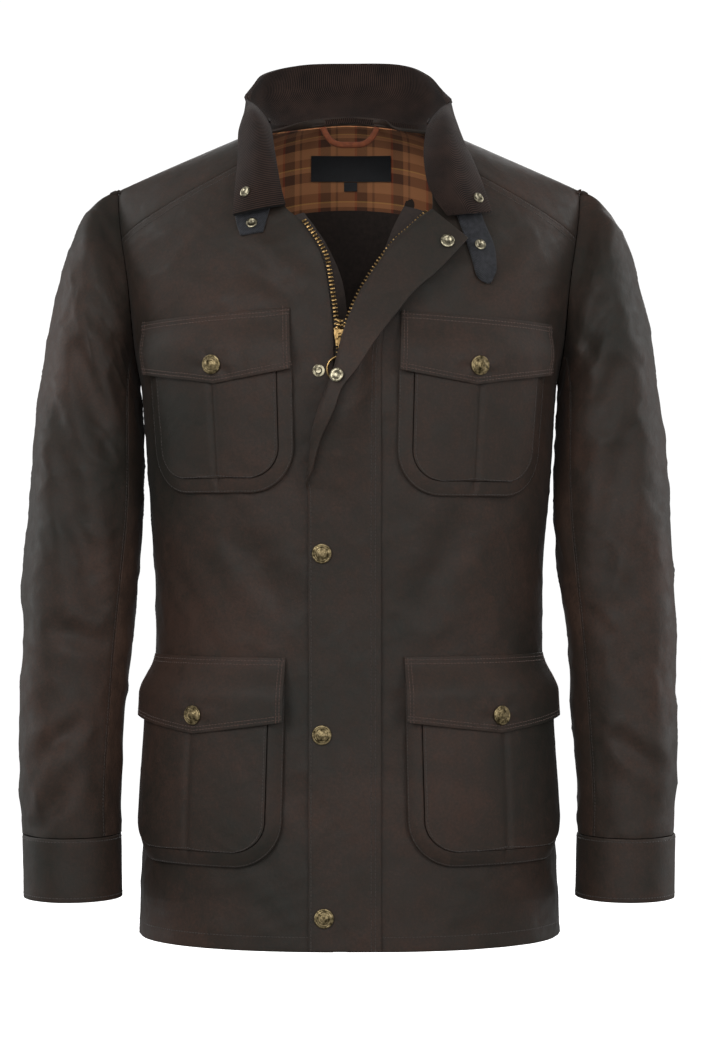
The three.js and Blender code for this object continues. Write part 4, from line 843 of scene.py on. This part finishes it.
def needlecord(name):
    """Cotton needlecord: soft dark ribs square to the neck seam, matte with a little nap, the grooves between the ribs
    darkened in the colour as painted shade.
    The ribs are 1.5 mm apart in the cloth, drawn at 2 mm so that they show"""
    material, tree, shader = new_material(name, Roughness=0.9, Specular_IOR_Level=0.2,
                                          Sheen_Weight=0.06, Sheen_Roughness=0.5)
    _, up = uv_parts(tree)
    wave = add(tree, "ShaderNodeMath", {0: fraction(tree, up, 0.002), 1: 0.5}, operation="SUBTRACT")
    wave = add(tree, "ShaderNodeMath", {0: wave.outputs[0]}, operation="ABSOLUTE")
    place = add(tree, "ShaderNodeTexCoord").outputs["Object"]
    nap = add(tree, "ShaderNodeTexNoise", {"Vector": place, "Scale": 60.0, "Detail": 4.0})
    shade = add(tree, "ShaderNodeMath", {0: nap.outputs["Fac"], 1: 0.35, 2: wave.outputs[0]}, operation="MULTIPLY_ADD")
    # Colour by rib: lighter on the crests and darker in the grooves, which is painted shade, plus random tone from the
    # nap
    colour = ramp(tree, shade.outputs[0], [(0.14, "#443129"), (0.38, "#271c17"), (0.58, "#0c0807")])
    tree.links.new(colour, shader.inputs["Base Color"])
    height = add(tree, "ShaderNodeMath", {0: 0.5, 1: wave.outputs[0]}, operation="SUBTRACT")
    bump = add(tree, "ShaderNodeBump", {"Strength": 0.7, "Distance": 0.0008, "Height": height.outputs[0]})
    tree.links.new(bump.outputs["Normal"], shader.inputs["Normal"])
    return material


def woven(name, dark, light, thread, roughness=0.85, sheen=0.06):
    """Plain or twilled cloth with its threads at the given spacing in metres"""
    material, tree, shader = new_material(name, Roughness=roughness, Sheen_Weight=sheen, Sheen_Roughness=0.5)
    across, up = uv_parts(tree)
    slant = add(tree, "ShaderNodeMath", {0: across, 1: up}, operation="ADD")
    twill = add(tree, "ShaderNodeMath", {0: fraction(tree, slant.outputs[0], thread), 1: 0.5}, operation="SUBTRACT")
    twill = add(tree, "ShaderNodeMath", {0: twill.outputs[0]}, operation="ABSOLUTE")
    place = add(tree, "ShaderNodeTexCoord").outputs["Object"]
    fleck = add(tree, "ShaderNodeTexNoise", {"Vector": place, "Scale": 250.0, "Detail": 3.0})
    shade = add(tree, "ShaderNodeMath", {0: fleck.outputs["Fac"], 1: 0.8, 2: twill.outputs[0]}, operation="MULTIPLY_ADD")
    colour = ramp(tree, shade.outputs[0], [(0.35, light), (0.85, dark)])
    tree.links.new(colour, shader.inputs["Base Color"])
    bump = add(tree, "ShaderNodeBump", {"Strength": 0.35, "Distance": 0.0004, "Height": shade.outputs[0]})
    tree.links.new(bump.outputs["Normal"], shader.inputs["Normal"])
    return material


# A plain check of this jacket's own: along each thread direction, where each colour of stripe starts
CHECK_WARP = [(0, "#a36a45"), (0.3, "#6c4530"), (0.36, "#a36a45"), (0.5, "#4e3225"), (0.78, "#8d3a25"), (0.84, "#a36a45")]
CHECK_WEFT = [(0, "#b27c54"), (0.22, "#5e4030"), (0.5, "#b27c54"), (0.62, "#cf9c5a"), (0.66, "#7d5338"), (0.9, "#b27c54")]
CHECK_PERIOD = 0.036


def check_cloth(name):
    """Brushed cotton check in tan, brown, rust and gold, 36 mm to a repeat"""
    material, tree, shader = new_material(name, Roughness=0.9, Specular_IOR_Level=0.3, Sheen_Weight=0.05)
    across, up = uv_parts(tree)
    warp = ramp(tree, fraction(tree, across, CHECK_PERIOD), CHECK_WARP, "CONSTANT")
    weft = ramp(tree, fraction(tree, up, CHECK_PERIOD, 0.4), CHECK_WEFT, "CONSTANT")
    slant = add(tree, "ShaderNodeMath", {0: across, 1: up}, operation="ADD")
    turn = add(tree, "ShaderNodeMath", {0: fraction(tree, slant.outputs[0], 0.0016), 1: 0.5}, operation="GREATER_THAN")
    share = add(tree, "ShaderNodeMath", {0: turn.outputs[0], 1: 0.3, 2: 0.35}, operation="MULTIPLY_ADD")
    both = add(tree, "ShaderNodeMix", {"Factor": share.outputs[0], "A": warp, "B": weft}, data_type="RGBA")
    for link in list(both.inputs[6].links) + list(both.inputs[7].links):
        tree.links.remove(link)
    tree.links.new(warp, both.inputs[6])
    tree.links.new(weft, both.inputs[7])
    tree.links.new(both.outputs[2], shader.inputs["Base Color"])
    bump = add(tree, "ShaderNodeBump", {"Strength": 0.25, "Distance": 0.0003, "Height": turn.outputs[0]})
    tree.links.new(bump.outputs["Normal"], shader.inputs["Normal"])
    return material


def metal(name, dark, light, roughness):
    """Brass left to age: dull gold where it is rubbed, brown in its hollows"""
    material, tree, shader = new_material(name, Metallic=1.0, Roughness=roughness)
    place = add(tree, "ShaderNodeTexCoord").outputs["Object"]
    stain = add(tree, "ShaderNodeTexNoise", {"Vector": place, "Scale": 350.0, "Detail": 4.0})
    tree.links.new(ramp(tree, stain.outputs["Fac"], [(0.35, dark), (0.6, light)]), shader.inputs["Base Color"])
    bump = add(tree, "ShaderNodeBump", {"Strength": 0.15, "Distance": 0.0003, "Height": stain.outputs["Fac"]})
    tree.links.new(bump.outputs["Normal"], shader.inputs["Normal"])
    return material


def thread_material(name, colour):
    """Core-spun polyester sewing thread, a little lighter than the cloth"""
    material, tree, shader = new_material(name, Roughness=0.7, Sheen_Weight=0.2)
    place = add(tree, "ShaderNodeTexCoord").outputs["Object"]
    ply = add(tree, "ShaderNodeTexNoise", {"Vector": place, "Scale": 1500.0})
    tree.links.new(ramp(tree, ply.outputs["Fac"], [(0.3, "#1d1714"), (0.7, colour)]), shader.inputs["Base Color"])
    return material


WAXED = waxed_cotton("waxed_cotton", "#23211c", "#2e251f", "#3d2c24", 0.56)
# A lighter copy of the waxed cotton for the undersleeves: painted sheen, standing for the side light on them
WAXED_PAINTED_SHEEN = waxed_cotton("waxed_cotton_undersleeve_painted_sheen", "#2c2620", "#372a23", "#4a372d", 0.5)
CORD = needlecord("cotton_needlecord")
WOOL = woven("wool_flannel", "#101113", "#33343a", 0.0018, 0.95, 0.12)
TWILL = woven("cotton_twill_lining", "#1a120e", "#33261f", 0.0014)
TAPE = woven("zip_tape", "#1c1714", "#2d2521", 0.001)
LABEL = woven("damask_label", "#0b0c0f", "#15171c", 0.0009, 0.6, 0.02)
CHECK = check_cloth("brushed_check_cotton")
RUST = woven("rust_cotton_binding", "#5c2c16", "#8a4724", 0.0012)
BRASS = metal("antique_brass", "#3e3624", "#988866", 0.4)
PALE_BRASS = metal("pale_antique_brass", "#4c473a", "#b3ab92", 0.34)
GOLD = metal("zip_brass", "#6a5535", "#bd9c68", 0.36)
THREAD = thread_material("sewing_thread", "#3a302a")
RED_THREAD = thread_material("sewing_thread_brown", "#5a3d30")


# Making pieces

def only(obj):
    bpy.ops.object.select_all(action="DESELECT")
    obj.select_set(True)
    bpy.context.view_layer.objects.active = obj


def finished(obj, name, material, nodes=(), body=JACKET):
    obj.name = name
    obj.data.name = name
    obj.data.materials.clear()
    obj.data.materials.append(material)
    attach(obj, body)
    if nodes:
        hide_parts(*nodes)
    return obj


def lattice(u, v, cell_u, cell_v, seed):
    """Smooth noise between -1 and 1 on cells of the given size, the same on each run"""
    values = np.random.default_rng(seed).uniform(-1, 1, (97, 89))
    a, b = u / cell_u + 500, v / cell_v + 500
    i, j = np.floor(a).astype(int), np.floor(b).astype(int)
    s, t = smooth(a - i), smooth(b - j)
    at = lambda p, q: values[(i + p) % 97, (j + q) % 89]
    return mix(mix(at(0, 0), at(1, 0), s), mix(at(0, 1), at(1, 1), s), t)


def run_lengths(grid):
    """Distance along each row from its first point, and up each column from its lowest, in millimetres"""
    zero_u, zero_v = np.zeros((grid.shape[0], 1)), np.zeros((1, grid.shape[1]))
    u = np.concatenate([zero_u, np.cumsum(np.linalg.norm(np.diff(grid, axis=1), axis=-1), axis=1)], axis=1)
    v = np.concatenate([zero_v, np.cumsum(np.linalg.norm(np.diff(grid, axis=0), axis=-1), axis=0)], axis=0)
    return u, v


def rumpled(grid, amount, seed, sewn=(), seam_dip=0.5):
    """The sheet with the soft waves and small creases of worn waxed cloth, drawn in at its sewn edges"""
    u, v = run_lengths(grid)
    normal = normals_of(grid)
    slant = u * 0.8 + v * 0.6, v * 0.8 - u * 0.6
    wave = 0.7 * lattice(u, v, 46, 60, seed) + 0.45 * lattice(*slant, 17, 34, seed + 1)
    crease = 1 - np.abs(lattice(*slant, 26, 48, seed + 2))
    crease2 = 1 - np.abs(lattice(v * 0.9 - u * 0.44, u * 0.9 + v * 0.44, 17, 40, seed + 3))
    height = amount * (wave + 0.55 * crease ** 5 + 0.4 * crease2 ** 6 - 0.35)
    edge = {"first": u, "last": u[:, -1:] - u, "bottom": v, "top": v[-1:] - v}
    calm = np.ones_like(u)
    dip = np.zeros_like(u)
    for side in sewn:
        calm = calm * smooth(edge[side] / 14)
        pucker = 0.75 + 0.25 * np.sin((u if side in ("top", "bottom") else v) * 2 * np.pi / 9.5)
        dip = np.maximum(dip, seam_dip * pucker * np.exp(-((edge[side] / 2.2) ** 2)))
    return grid + (height * (0.1 + 0.9 * calm) - dip)[..., None] * normal


def sheet_mesh(grid, tube=False):
    """A grid primitive moved to the sheet's points, with its UVs in metres of cloth"""
    rows, columns = grid.shape[:2]
    bpy.ops.object.select_all(action="DESELECT")
    bpy.ops.mesh.primitive_grid_add(x_subdivisions=columns - 1, y_subdivisions=rows - 1, size=1)
    obj = bpy.context.object
    mesh = obj.data
    if len(mesh.vertices) != rows * columns:
        raise RuntimeError(f"grid of {len(mesh.vertices)} points, not {rows} by {columns}")
    mesh.vertices.foreach_set("co", (grid * MM).astype(np.float32).ravel())
    u, v = run_lengths(grid)
    uv = np.stack([u - u.mean(axis=1, keepdims=True), v], axis=-1).reshape(-1, 2) * MM
    index = np.empty(len(mesh.loops), np.int32)
    mesh.loops.foreach_get("vertex_index", index)
    mesh.uv_layers.active.data.foreach_set("uv", uv[index].astype(np.float32).ravel())
    mesh.update()
    if tube:
        only(obj)
        bpy.ops.object.mode_set(mode="EDIT")
        bpy.ops.mesh.select_all(action="SELECT")
        bpy.ops.mesh.remove_doubles(threshold=0.00005)
        bpy.ops.object.mode_set(mode="OBJECT")
    return obj


def cloth(name, grid, thick, material, nodes, tube=False, soft_edge=0.5):
    """A thin shell of cloth on the sheet, standing for the named solids"""
    obj = sheet_mesh(grid, tube)
    only(obj)
    wall = obj.modifiers.new("thickness", "SOLIDIFY")
    wall.thickness, wall.offset, wall.use_even_offset = thick * MM, -1, False
    bpy.ops.object.modifier_apply(modifier="thickness")
    if soft_edge:
        edge = obj.modifiers.new("edge", "BEVEL")
        edge.width, edge.segments, edge.limit_method, edge.angle_limit = soft_edge * MM, 2, "ANGLE", math.radians(60)
        bpy.ops.object.modifier_apply(modifier="edge")
    bpy.ops.object.shade_smooth_by_angle(angle=math.radians(50))
    finished(obj, name, material, nodes)
    return obj


def seam_line(grid, side, inset, start=0.0, end=1.0):
    """Points and normals along the sheet at a distance in from one of its edges, in millimetres"""
    turned, normal = edge_up(grid, side)[::-1], edge_up(normals_of(grid), side)[::-1]
    steps = np.linalg.norm(np.diff(turned, axis=0), axis=-1)
    run = np.concatenate([np.zeros((1, turned.shape[1])), np.cumsum(steps, axis=0)])
    columns = np.arange(turned.shape[1])
    k = np.clip((run < inset).sum(axis=0) - 1, 0, len(run) - 2)
    share = ((inset - run[k, columns]) / (run[k + 1, columns] - run[k, columns] + 1e-9))[:, None]
    points = mix(turned[k, columns], turned[k + 1, columns], share)
    sides = mix(normal[k, columns], normal[k + 1, columns], share)
    keep = slice(int(start * len(points)), max(int(end * len(points)), 2))
    return points[keep], unit(sides[keep])


def spaced(points, normals, pitch):
    """Places along a line every so many millimetres: points, directions along it and normals"""
    run = np.concatenate([[0], np.cumsum(np.linalg.norm(np.diff(points, axis=0), axis=-1))])
    wanted = np.arange(pitch / 2, run[-1], pitch)
    at = np.stack([np.interp(wanted, run, points[:, k]) for k in range(3)], axis=-1)
    ahead = np.stack([np.interp(wanted + 0.5, run, points[:, k]) for k in range(3)], axis=-1)
    behind = np.stack([np.interp(wanted - 0.5, run, points[:, k]) for k in range(3)], axis=-1)
    up = unit(np.stack([np.interp(wanted, run, normals[:, k]) for k in range(3)], axis=-1))
    return at, unit(ahead - behind), up


def repeated(pattern, name, material, places):
    """Many copies of one small shape in one mesh: its X goes along each line and its Z stands off the cloth"""
    corners = np.array([v.co for v in pattern.data.vertices])
    faces = [list(face.vertices) for face in pattern.data.polygons]
    at, forward, up = (np.concatenate([place[k] for place in places]) for k in range(3))
    across = unit(np.cross(up, forward))
    up = np.cross(forward, across)
    frames = np.stack([forward, across, up], axis=1)
    points = at[:, None, :] * MM + np.einsum("vk,nkj->nvj", corners, frames)
    count = len(corners)
    mesh = bpy.data.meshes.new(name)
    mesh.from_pydata(points.reshape(-1, 3).tolist(), [],
                     [[index + count * n for index in face] for n in range(len(at)) for face in faces])
    obj = bpy.data.objects.new(name, mesh)
    bpy.context.collection.objects.link(obj)
    only(obj)
    bpy.ops.object.shade_smooth_by_angle(angle=math.radians(45))
    return finished(obj, name, material)


def turned_piece(name, rings, sides=36):
    """A round piece raised ring by ring from a flat disc, by its radii and heights in millimetres"""
    (radius, low), *rest = rings
    bpy.ops.object.select_all(action="DESELECT")
    bpy.ops.mesh.primitive_circle_add(vertices=sides, radius=radius * MM, fill_type="NGON", location=(0, 0, 0))
    obj = bpy.context.object
    obj.name = name
    bpy.ops.object.mode_set(mode="EDIT")
    bpy.ops.mesh.select_all(action="SELECT")
    for next_radius, height in rest:
        bpy.ops.mesh.extrude_region_move(TRANSFORM_OT_translate={"value": (0, 0, (height - low) * MM)})
        share = next_radius / radius
        bpy.ops.transform.resize(value=(share, share, 1), center_override=(0, 0, height * MM))
        radius, low = next_radius, height
    bpy.ops.mesh.select_all(action="SELECT")
    bpy.ops.mesh.normals_make_consistent(inside=False)
    bpy.ops.object.mode_set(mode="OBJECT")
    return obj


def seat(node):
    """Where a round metal piece sits: the middle of its solid's flat foot and the way it faces"""
    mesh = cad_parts[node].data
    normals, middles, areas = (np.array([getattr(face, word) for face in mesh.polygons], float)
                               for word in ("normal", "center", "area"))
    best = max(range(len(areas)), key=lambda k: areas[(normals @ normals[k]) > 0.9995].sum())
    foot = (normals @ normals[best]) > 0.9995
    middle = (middles[foot] * areas[foot, None]).sum(axis=0) / areas[foot].sum()
    return middle, -normals[best]


def seated(pattern, name, node, material):
    middle, facing = seat(node)
    obj = pattern.copy()
    obj.data = pattern.data.copy()
    bpy.context.collection.objects.link(obj)
    turn = Vector((0, 0, 1)).rotation_difference(Vector(facing)).to_matrix().to_4x4()
    obj.matrix_world = Matrix.Translation(Vector(middle)) @ turn
    only(obj)
    bpy.ops.object.transform_apply(location=True, rotation=True, scale=True)
    bpy.ops.object.shade_smooth_by_angle(angle=math.radians(32))
    return finished(obj, name, material, [node])


# Body, shoulders, sleeves and cuffs
front_grids = {}
seams = []
for side, word, edge, seed in ((-1, "right", EDGE_RIGHT, 11), (1, "left", EDGE_LEFT, 23)):
    outer = "last" if side > 0 else "first"
    grid = rumpled(front_sheet(side, edge, 190, 56), 1.4, seed, [outer, "top"])
    front_grids[word] = grid
    seams += [seam_line(grid, "bottom", 13), seam_line(grid, "top", 2.5), seam_line(grid, "top", 8)]
    seams += [seam_line(grid, outer, 3.5, 0, 0.24)]
    cloth(f"front_panel_{word}", tucked(grid, [outer, "top"]), SHELL, WAXED, [f"front_{word}"])
    grid = rumpled(shoulder_sheet(side, edge, 26, 46), 0.6, seed + 4, [outer, "bottom", "top"])
    cloth(f"shoulder_yoke_{word}", tucked(grid, [outer]), SHELL, WAXED, [f"shoulder_{word}"])
    places = {"top": (FRONT_SEAM, BACK_SEAM, 76), "under": (BACK_SEAM, 360 + FRONT_SEAM, 30)}
    for part, (start, end, columns) in places.items():
        # Past the top of the ring the way round goes on to the front, so its sign changes there
        grid = sleeve_sheet(side, start, end, 150, columns)
        grid = rumpled(grid, 2.2, seed + 8 + columns, ["first", "last", "top"])
        # The undersleeves take the lighter copy of the cloth, which is painted sheen
        material = WAXED if part == "top" else WAXED_PAINTED_SHEEN
        if part == "top":
            seams += [seam_line(grid, "first", 2.5, 0, 0.97), seam_line(grid, "last", 2.5, 0, 0.97)]
        cloth(f"sleeve_{part}_{word}", tucked(grid, ["first", "last", "top"]), SHELL, material, [f"sleeve_{word}_{part}"])
    grid = rumpled(cuff_sheet(side, 18, 90), 0.5, seed + 6, ["top"])
    grid[:, -1] = grid[:, 0]
    seams += [seam_line(grid, "top", 3), seam_line(grid, "bottom", 4)]
    cloth(f"cuff_band_{word}", grid, SHELL, WAXED, [f"cuff_{word}"], tube=True)

back_grid = rumpled(back_sheet(200, 104), 1.5, 41, ["first", "last", "top"])
seams += [seam_line(back_grid, "bottom", 13)]
seams += [seam_line(back_grid, edge, inset) for edge in ("first", "last") for inset in (2.5, 8)]
back_cut = tucked(tucked(back_grid, ["first", "last"]), ["top"], NECK_ALLOWANCE)
cloth("back_panel", back_cut, SHELL, WAXED, ["back"])

# Collar, facings, tapes, storm flap and tabs
TOOTH_PITCH = 3.6
chains = []
cloth("collar_cord", collar_sheet(200, 24), COLLAR_THICK, CORD, ["collar"], soft_edge=1.0)
cloth("collar_stand", stand_sheet(120, 8), 1.4, CORD, [], soft_edge=0)
for side, word, facing, teeth in ((-1, "right", FACING_RIGHT, TEETH_RIGHT), (1, "left", FACING_LEFT, TEETH_LEFT)):
    cloth(f"neck_facing_{word}", facing_sheet(side, facing, 50, 10), LINING_THICK, TWILL,
          [f"facing_{word}"], soft_edge=0)
    webbing = tape_sheet(side, teeth, 220, 5)
    edge, inwards = (0, 1) if side > 0 else (-1, -2)
    out_of_tape = unit(webbing[:, edge] - webbing[:, inwards])
    at, ahead, up = spaced(webbing[:, edge] + 0.6 * out_of_tape, normals_of(webbing)[:, edge], TOOTH_PITCH)
    # A tooth's head points out of its tape, so on the right chain the line runs the other way
    chains.append((side, word, (at, ahead * side, up)))
    cloth(f"zip_webbing_{word}", webbing, 0.9, TAPE,
          [f"zip_tape_{word}"], soft_edge=0)
flap_grid = rumpled(flap_sheet(220, 34), 0.7, 61, ["last"])
seams += [seam_line(flap_grid, "last", 5.6), seam_line(flap_grid, "last", 9.4), seam_line(flap_grid, "first", 2.5)]
cloth("storm_flap_cloth", flap_grid, FLAP_CLOTH, WAXED, ["storm_flap"])
cloth("throat_tab_wool", tab_sheet(THROAT_TAB, 1.5, 40, 18), TAB_CLOTH, WOOL, ["throat_tab"],
      soft_edge=0.7)
cloth("tab_stub_wool", tab_sheet(TAB_STUB, 0.4, 20, 18), TAB_CLOTH, WOOL, ["tab_stub"],
      soft_edge=0.7)

# Lining, with its label left bare
cloth("yoke_lining", lining_sheet(YOKE_LEVEL, -0.1, 50, 60), LINING_THICK, CHECK, ["lining_yoke"],
      soft_edge=0)
cloth("body_lining", lining_sheet(LINING_FOOT, YOKE_LEVEL - 0.1, 50, 60), LINING_THICK, TWILL,
      ["lining_back"], soft_edge=0)
size_tab = cloth("plain_size_tab", label_sheet(-5, 8, -38.5, -29.5, 6, 8), 0.8, LABEL, ["size_tab"],
                 soft_edge=0)
cloth("plain_label", label_sheet(-38, 42, -29, -4, 8, 24), 0.8, LABEL, ["label"],
      soft_edge=0)

cloth("hanger_loop_binding", loop_sheet(60, 17), 0.6, RUST, ["hanger_loop"],
      tube=True, soft_edge=0)

# Bellows pockets
pockets = [Pocket(**sizes) for sizes in POCKETS]
flap_seams = []
for k, pocket in enumerate(pockets):
    word = pocket.word
    face = rumpled(pocket.face_sheet(56, 57), 0.5, 71 + k)
    gusset = pocket.gusset_sheet(10)
    seams += [seam_line(gusset, "bottom", 1.6), seam_line(face, "bottom", 2)]
    seams += [seam_line(face, edge, 2, 0, 0.8) for edge in ("first", "last")]
    cloth(f"bag_face_{word}", face, FACE_CLOTH, WAXED, [f"pocket_{word}_face"])
    cloth(f"bag_gusset_{word}", gusset, GUSSET_CLOTH, WAXED,
          [f"pocket_{word}_gusset"])
    flap = rumpled(pocket.flap_sheet(28, 60), 0.4, 81 + k, ["top"], 0.5)
    flap_seams += [seam_line(flap, "top", inset) for inset in (3.2, 6.8)]
    flap_seams += [seam_line(flap, edge, inset) for edge in ("first", "last", "bottom") for inset in (3, 6)]
    cloth(f"bag_flap_{word}", flap, SHELL, WAXED, [f"pocket_{word}_flap"])


# Sewing: each stitch 2.4 mm long and 3.2 mm from the next, on the finished cloth
bpy.ops.object.select_all(action="DESELECT")
bpy.ops.mesh.primitive_cube_add(size=1, location=(0, 0, 0))
stitch = bpy.context.object
stitch.name = "stitch"
bpy.ops.object.mode_set(mode="EDIT")
bpy.ops.transform.resize(value=(2.4 * MM, 0.75 * MM, 0.5 * MM), center_override=(0, 0, 0))
bpy.ops.mesh.bevel(offset=0.16 * MM, segments=1, affect="EDGES")
bpy.ops.object.mode_set(mode="OBJECT")
repeated(stitch, "body_stitching", THREAD, [spaced(*seam, 3.2) for seam in seams])
repeated(stitch, "pocket_stitching", RED_THREAD, [spaced(*seam, 3.2) for seam in flap_seams])
bpy.data.objects.remove(stitch)

# Zip teeth: one cast tooth, stepped to its head, repeated every 3.6 mm along both chains
bpy.ops.mesh.primitive_cube_add(size=1, location=(0, 0, 0))
tooth = bpy.context.object
tooth.name = "tooth"
bpy.ops.object.mode_set(mode="EDIT")
bpy.ops.transform.resize(value=(1.9 * MM, 3 * MM, 2.6 * MM), center_override=(0, 0, 0))
bpy.ops.mesh.select_all(action="DESELECT")
bpy.ops.object.mode_set(mode="OBJECT")
for face in tooth.data.polygons:
    face.select = face.normal.y > 0.9
bpy.ops.object.mode_set(mode="EDIT")
bpy.ops.mesh.select_mode(type="FACE")
bpy.ops.mesh.inset(thickness=0.3 * MM)
bpy.ops.mesh.extrude_region_move(TRANSFORM_OT_translate={"value": (0, 1.6 * MM, 0)})
bpy.ops.mesh.select_all(action="SELECT")
bpy.ops.mesh.bevel(offset=0.2 * MM, segments=1, affect="EDGES")
bpy.ops.object.mode_set(mode="OBJECT")
for side, word, places in chains:
    repeated(tooth, f"zip_teeth_{word}", GOLD, [places])
bpy.data.objects.remove(tooth)

# Studs and caps: profiles as radius and height
CAP_RINGS = [(8.3, 0), (8.8, 0.3), (8.8, 0.9), (8.4, 1.35), (7.7, 1.5), (7.3, 1.3), (6.9, 1.5), (6, 1.9), (5.7, 1.8),
             (5.4, 2.1), (4, 2.55), (3.7, 2.4), (3.4, 2.6), (1.6, 2.85), (0.4, 2.9)]
STUD_RINGS = [(5.4, 0), (5.7, 0.3), (5.4, 0.9), (4.4, 1.05), (3.3, 1), (2.9, 1.3), (2.75, 2.2), (2.95, 2.6),
              (2.4, 3), (0.5, 3.05)]
SOCKET_RINGS = [(6.1, 0), (6.4, 0.3), (6.3, 1.1), (5.7, 1.5), (4.7, 1.6), (3.6, 1.4), (2.9, 1), (2.3, 0.6), (0.5, 0.5)]
EYELET_RINGS = [(5, 0), (5.2, 0.35), (5, 0.9), (4.4, 1.25), (3.7, 1.3), (3, 1.05), (2.5, 0.7), (2.1, 0.5), (0.5, 0.45)]
patterns = {
    "cap": turned_piece("cap_pattern", CAP_RINGS, 48),
    "stud": turned_piece("stud_pattern", STUD_RINGS),
    "socket": turned_piece("socket_pattern", SOCKET_RINGS),
    "eyelet": turned_piece("eyelet_pattern", EYELET_RINGS),
}
SNAPS = {
    "cap": ["flap_cap_top", "flap_cap_middle", "flap_cap_bottom", *[f"pocket_{p['word']}_cap" for p in POCKETS]],
    "stud": ["stud_right"],
    "socket": ["flap_socket_top", "flap_socket_lower"],
    "eyelet": ["tab_snap_left", "tab_snap_right", "collar_ring_right", "collar_ring_left"],
}
for kind, nodes in SNAPS.items():
    for node in nodes:
        seated(patterns[kind], f"brass_{node}", node, BRASS if kind == "cap" else PALE_BRASS)
    bpy.data.objects.remove(patterns[kind])

# The zip's slider, link and ring keep their solids' shapes and get their metal
for node in ("zip_slider", "zip_link", "zip_ring"):
    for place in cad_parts[node].material_slots:
        place.material = GOLD


# Camera at the photograph's place, level with the middle of the jacket
PHOTO_LONG = 1053
DISTANCE = 2.6
PIXELS_PER_METRE = 1 / 0.00094
SENSOR = 36
bpy.ops.object.camera_add(location=(0.0019, -DISTANCE, -0.368), rotation=(math.pi / 2, 0, 0))
camera = bpy.context.object
camera.data.sensor_width = SENSOR
camera.data.lens = DISTANCE * PIXELS_PER_METRE / PHOTO_LONG * SENSOR
bpy.context.scene.camera = camera

# Pale floor and soft studio light: the floor and the surround are lit to white behind the jacket, as in the
# photograph, and light the cloth itself only gently
SURROUND = 0.3
bpy.ops.mesh.primitive_plane_add(size=40, location=(0, 0, -1.0))
floor = bpy.context.object
floor.name = "studio_floor"
floor_material, floor_tree, floor_shader = new_material("pale_floor", Base_Color=linear("#f4f4f4"), Roughness=0.9,
                                                        Emission_Color=(1, 1, 1, 1), Emission_Strength=0.75)
floor.data.materials.append(floor_material)
floor.visible_diffuse = floor.visible_glossy = False


def area_light(name, place, aim, size, power, height):
    bpy.ops.object.light_add(type="AREA", location=place)
    light = bpy.context.object
    light.name = name
    light.data.shape, light.data.size, light.data.size_y = "RECTANGLE", size, height
    light.data.energy = power
    light.rotation_euler = (Vector(aim) - Vector(place)).to_track_quat("-Z", "Y").to_euler()


area_light("key", (-1.5, -2.4, 0.8), (0, 0, -0.35), 1.2, 27, 1.6)
area_light("fill", (1.7, -2.2, 0.4), (0, 0, -0.35), 1.2, 18, 1.8)
area_light("front_soft", (0.0, -3.0, 0.3), (0, 0, -0.4), 1.6, 20, 2.0)
area_light("rim_right", (-1.7, 0.5, 0.2), (0, 0, -0.4), 0.7, 16, 2.2)
area_light("rim_left", (1.7, 0.5, 0.2), (0, 0, -0.4), 0.7, 16, 2.2)
area_light("back_soft", (0.3, 2.4, 1.0), (0, 0, -0.3), 2.0, 30, 1.8)

world = bpy.data.worlds.new("studio")
bpy.context.scene.world = world
world.use_nodes = True
surround = world.node_tree.nodes["Background"]
surround.inputs["Color"].default_value = (1, 1, 1, 1)
seen = add(world.node_tree, "ShaderNodeLightPath").outputs["Is Camera Ray"]
level = add(world.node_tree, "ShaderNodeMapRange", {"Value": seen, "To Min": SURROUND, "To Max": 1.05})
world.node_tree.links.new(level.outputs["Result"], surround.inputs["Strength"])
bpy.context.scene.view_settings.view_transform = "Standard"
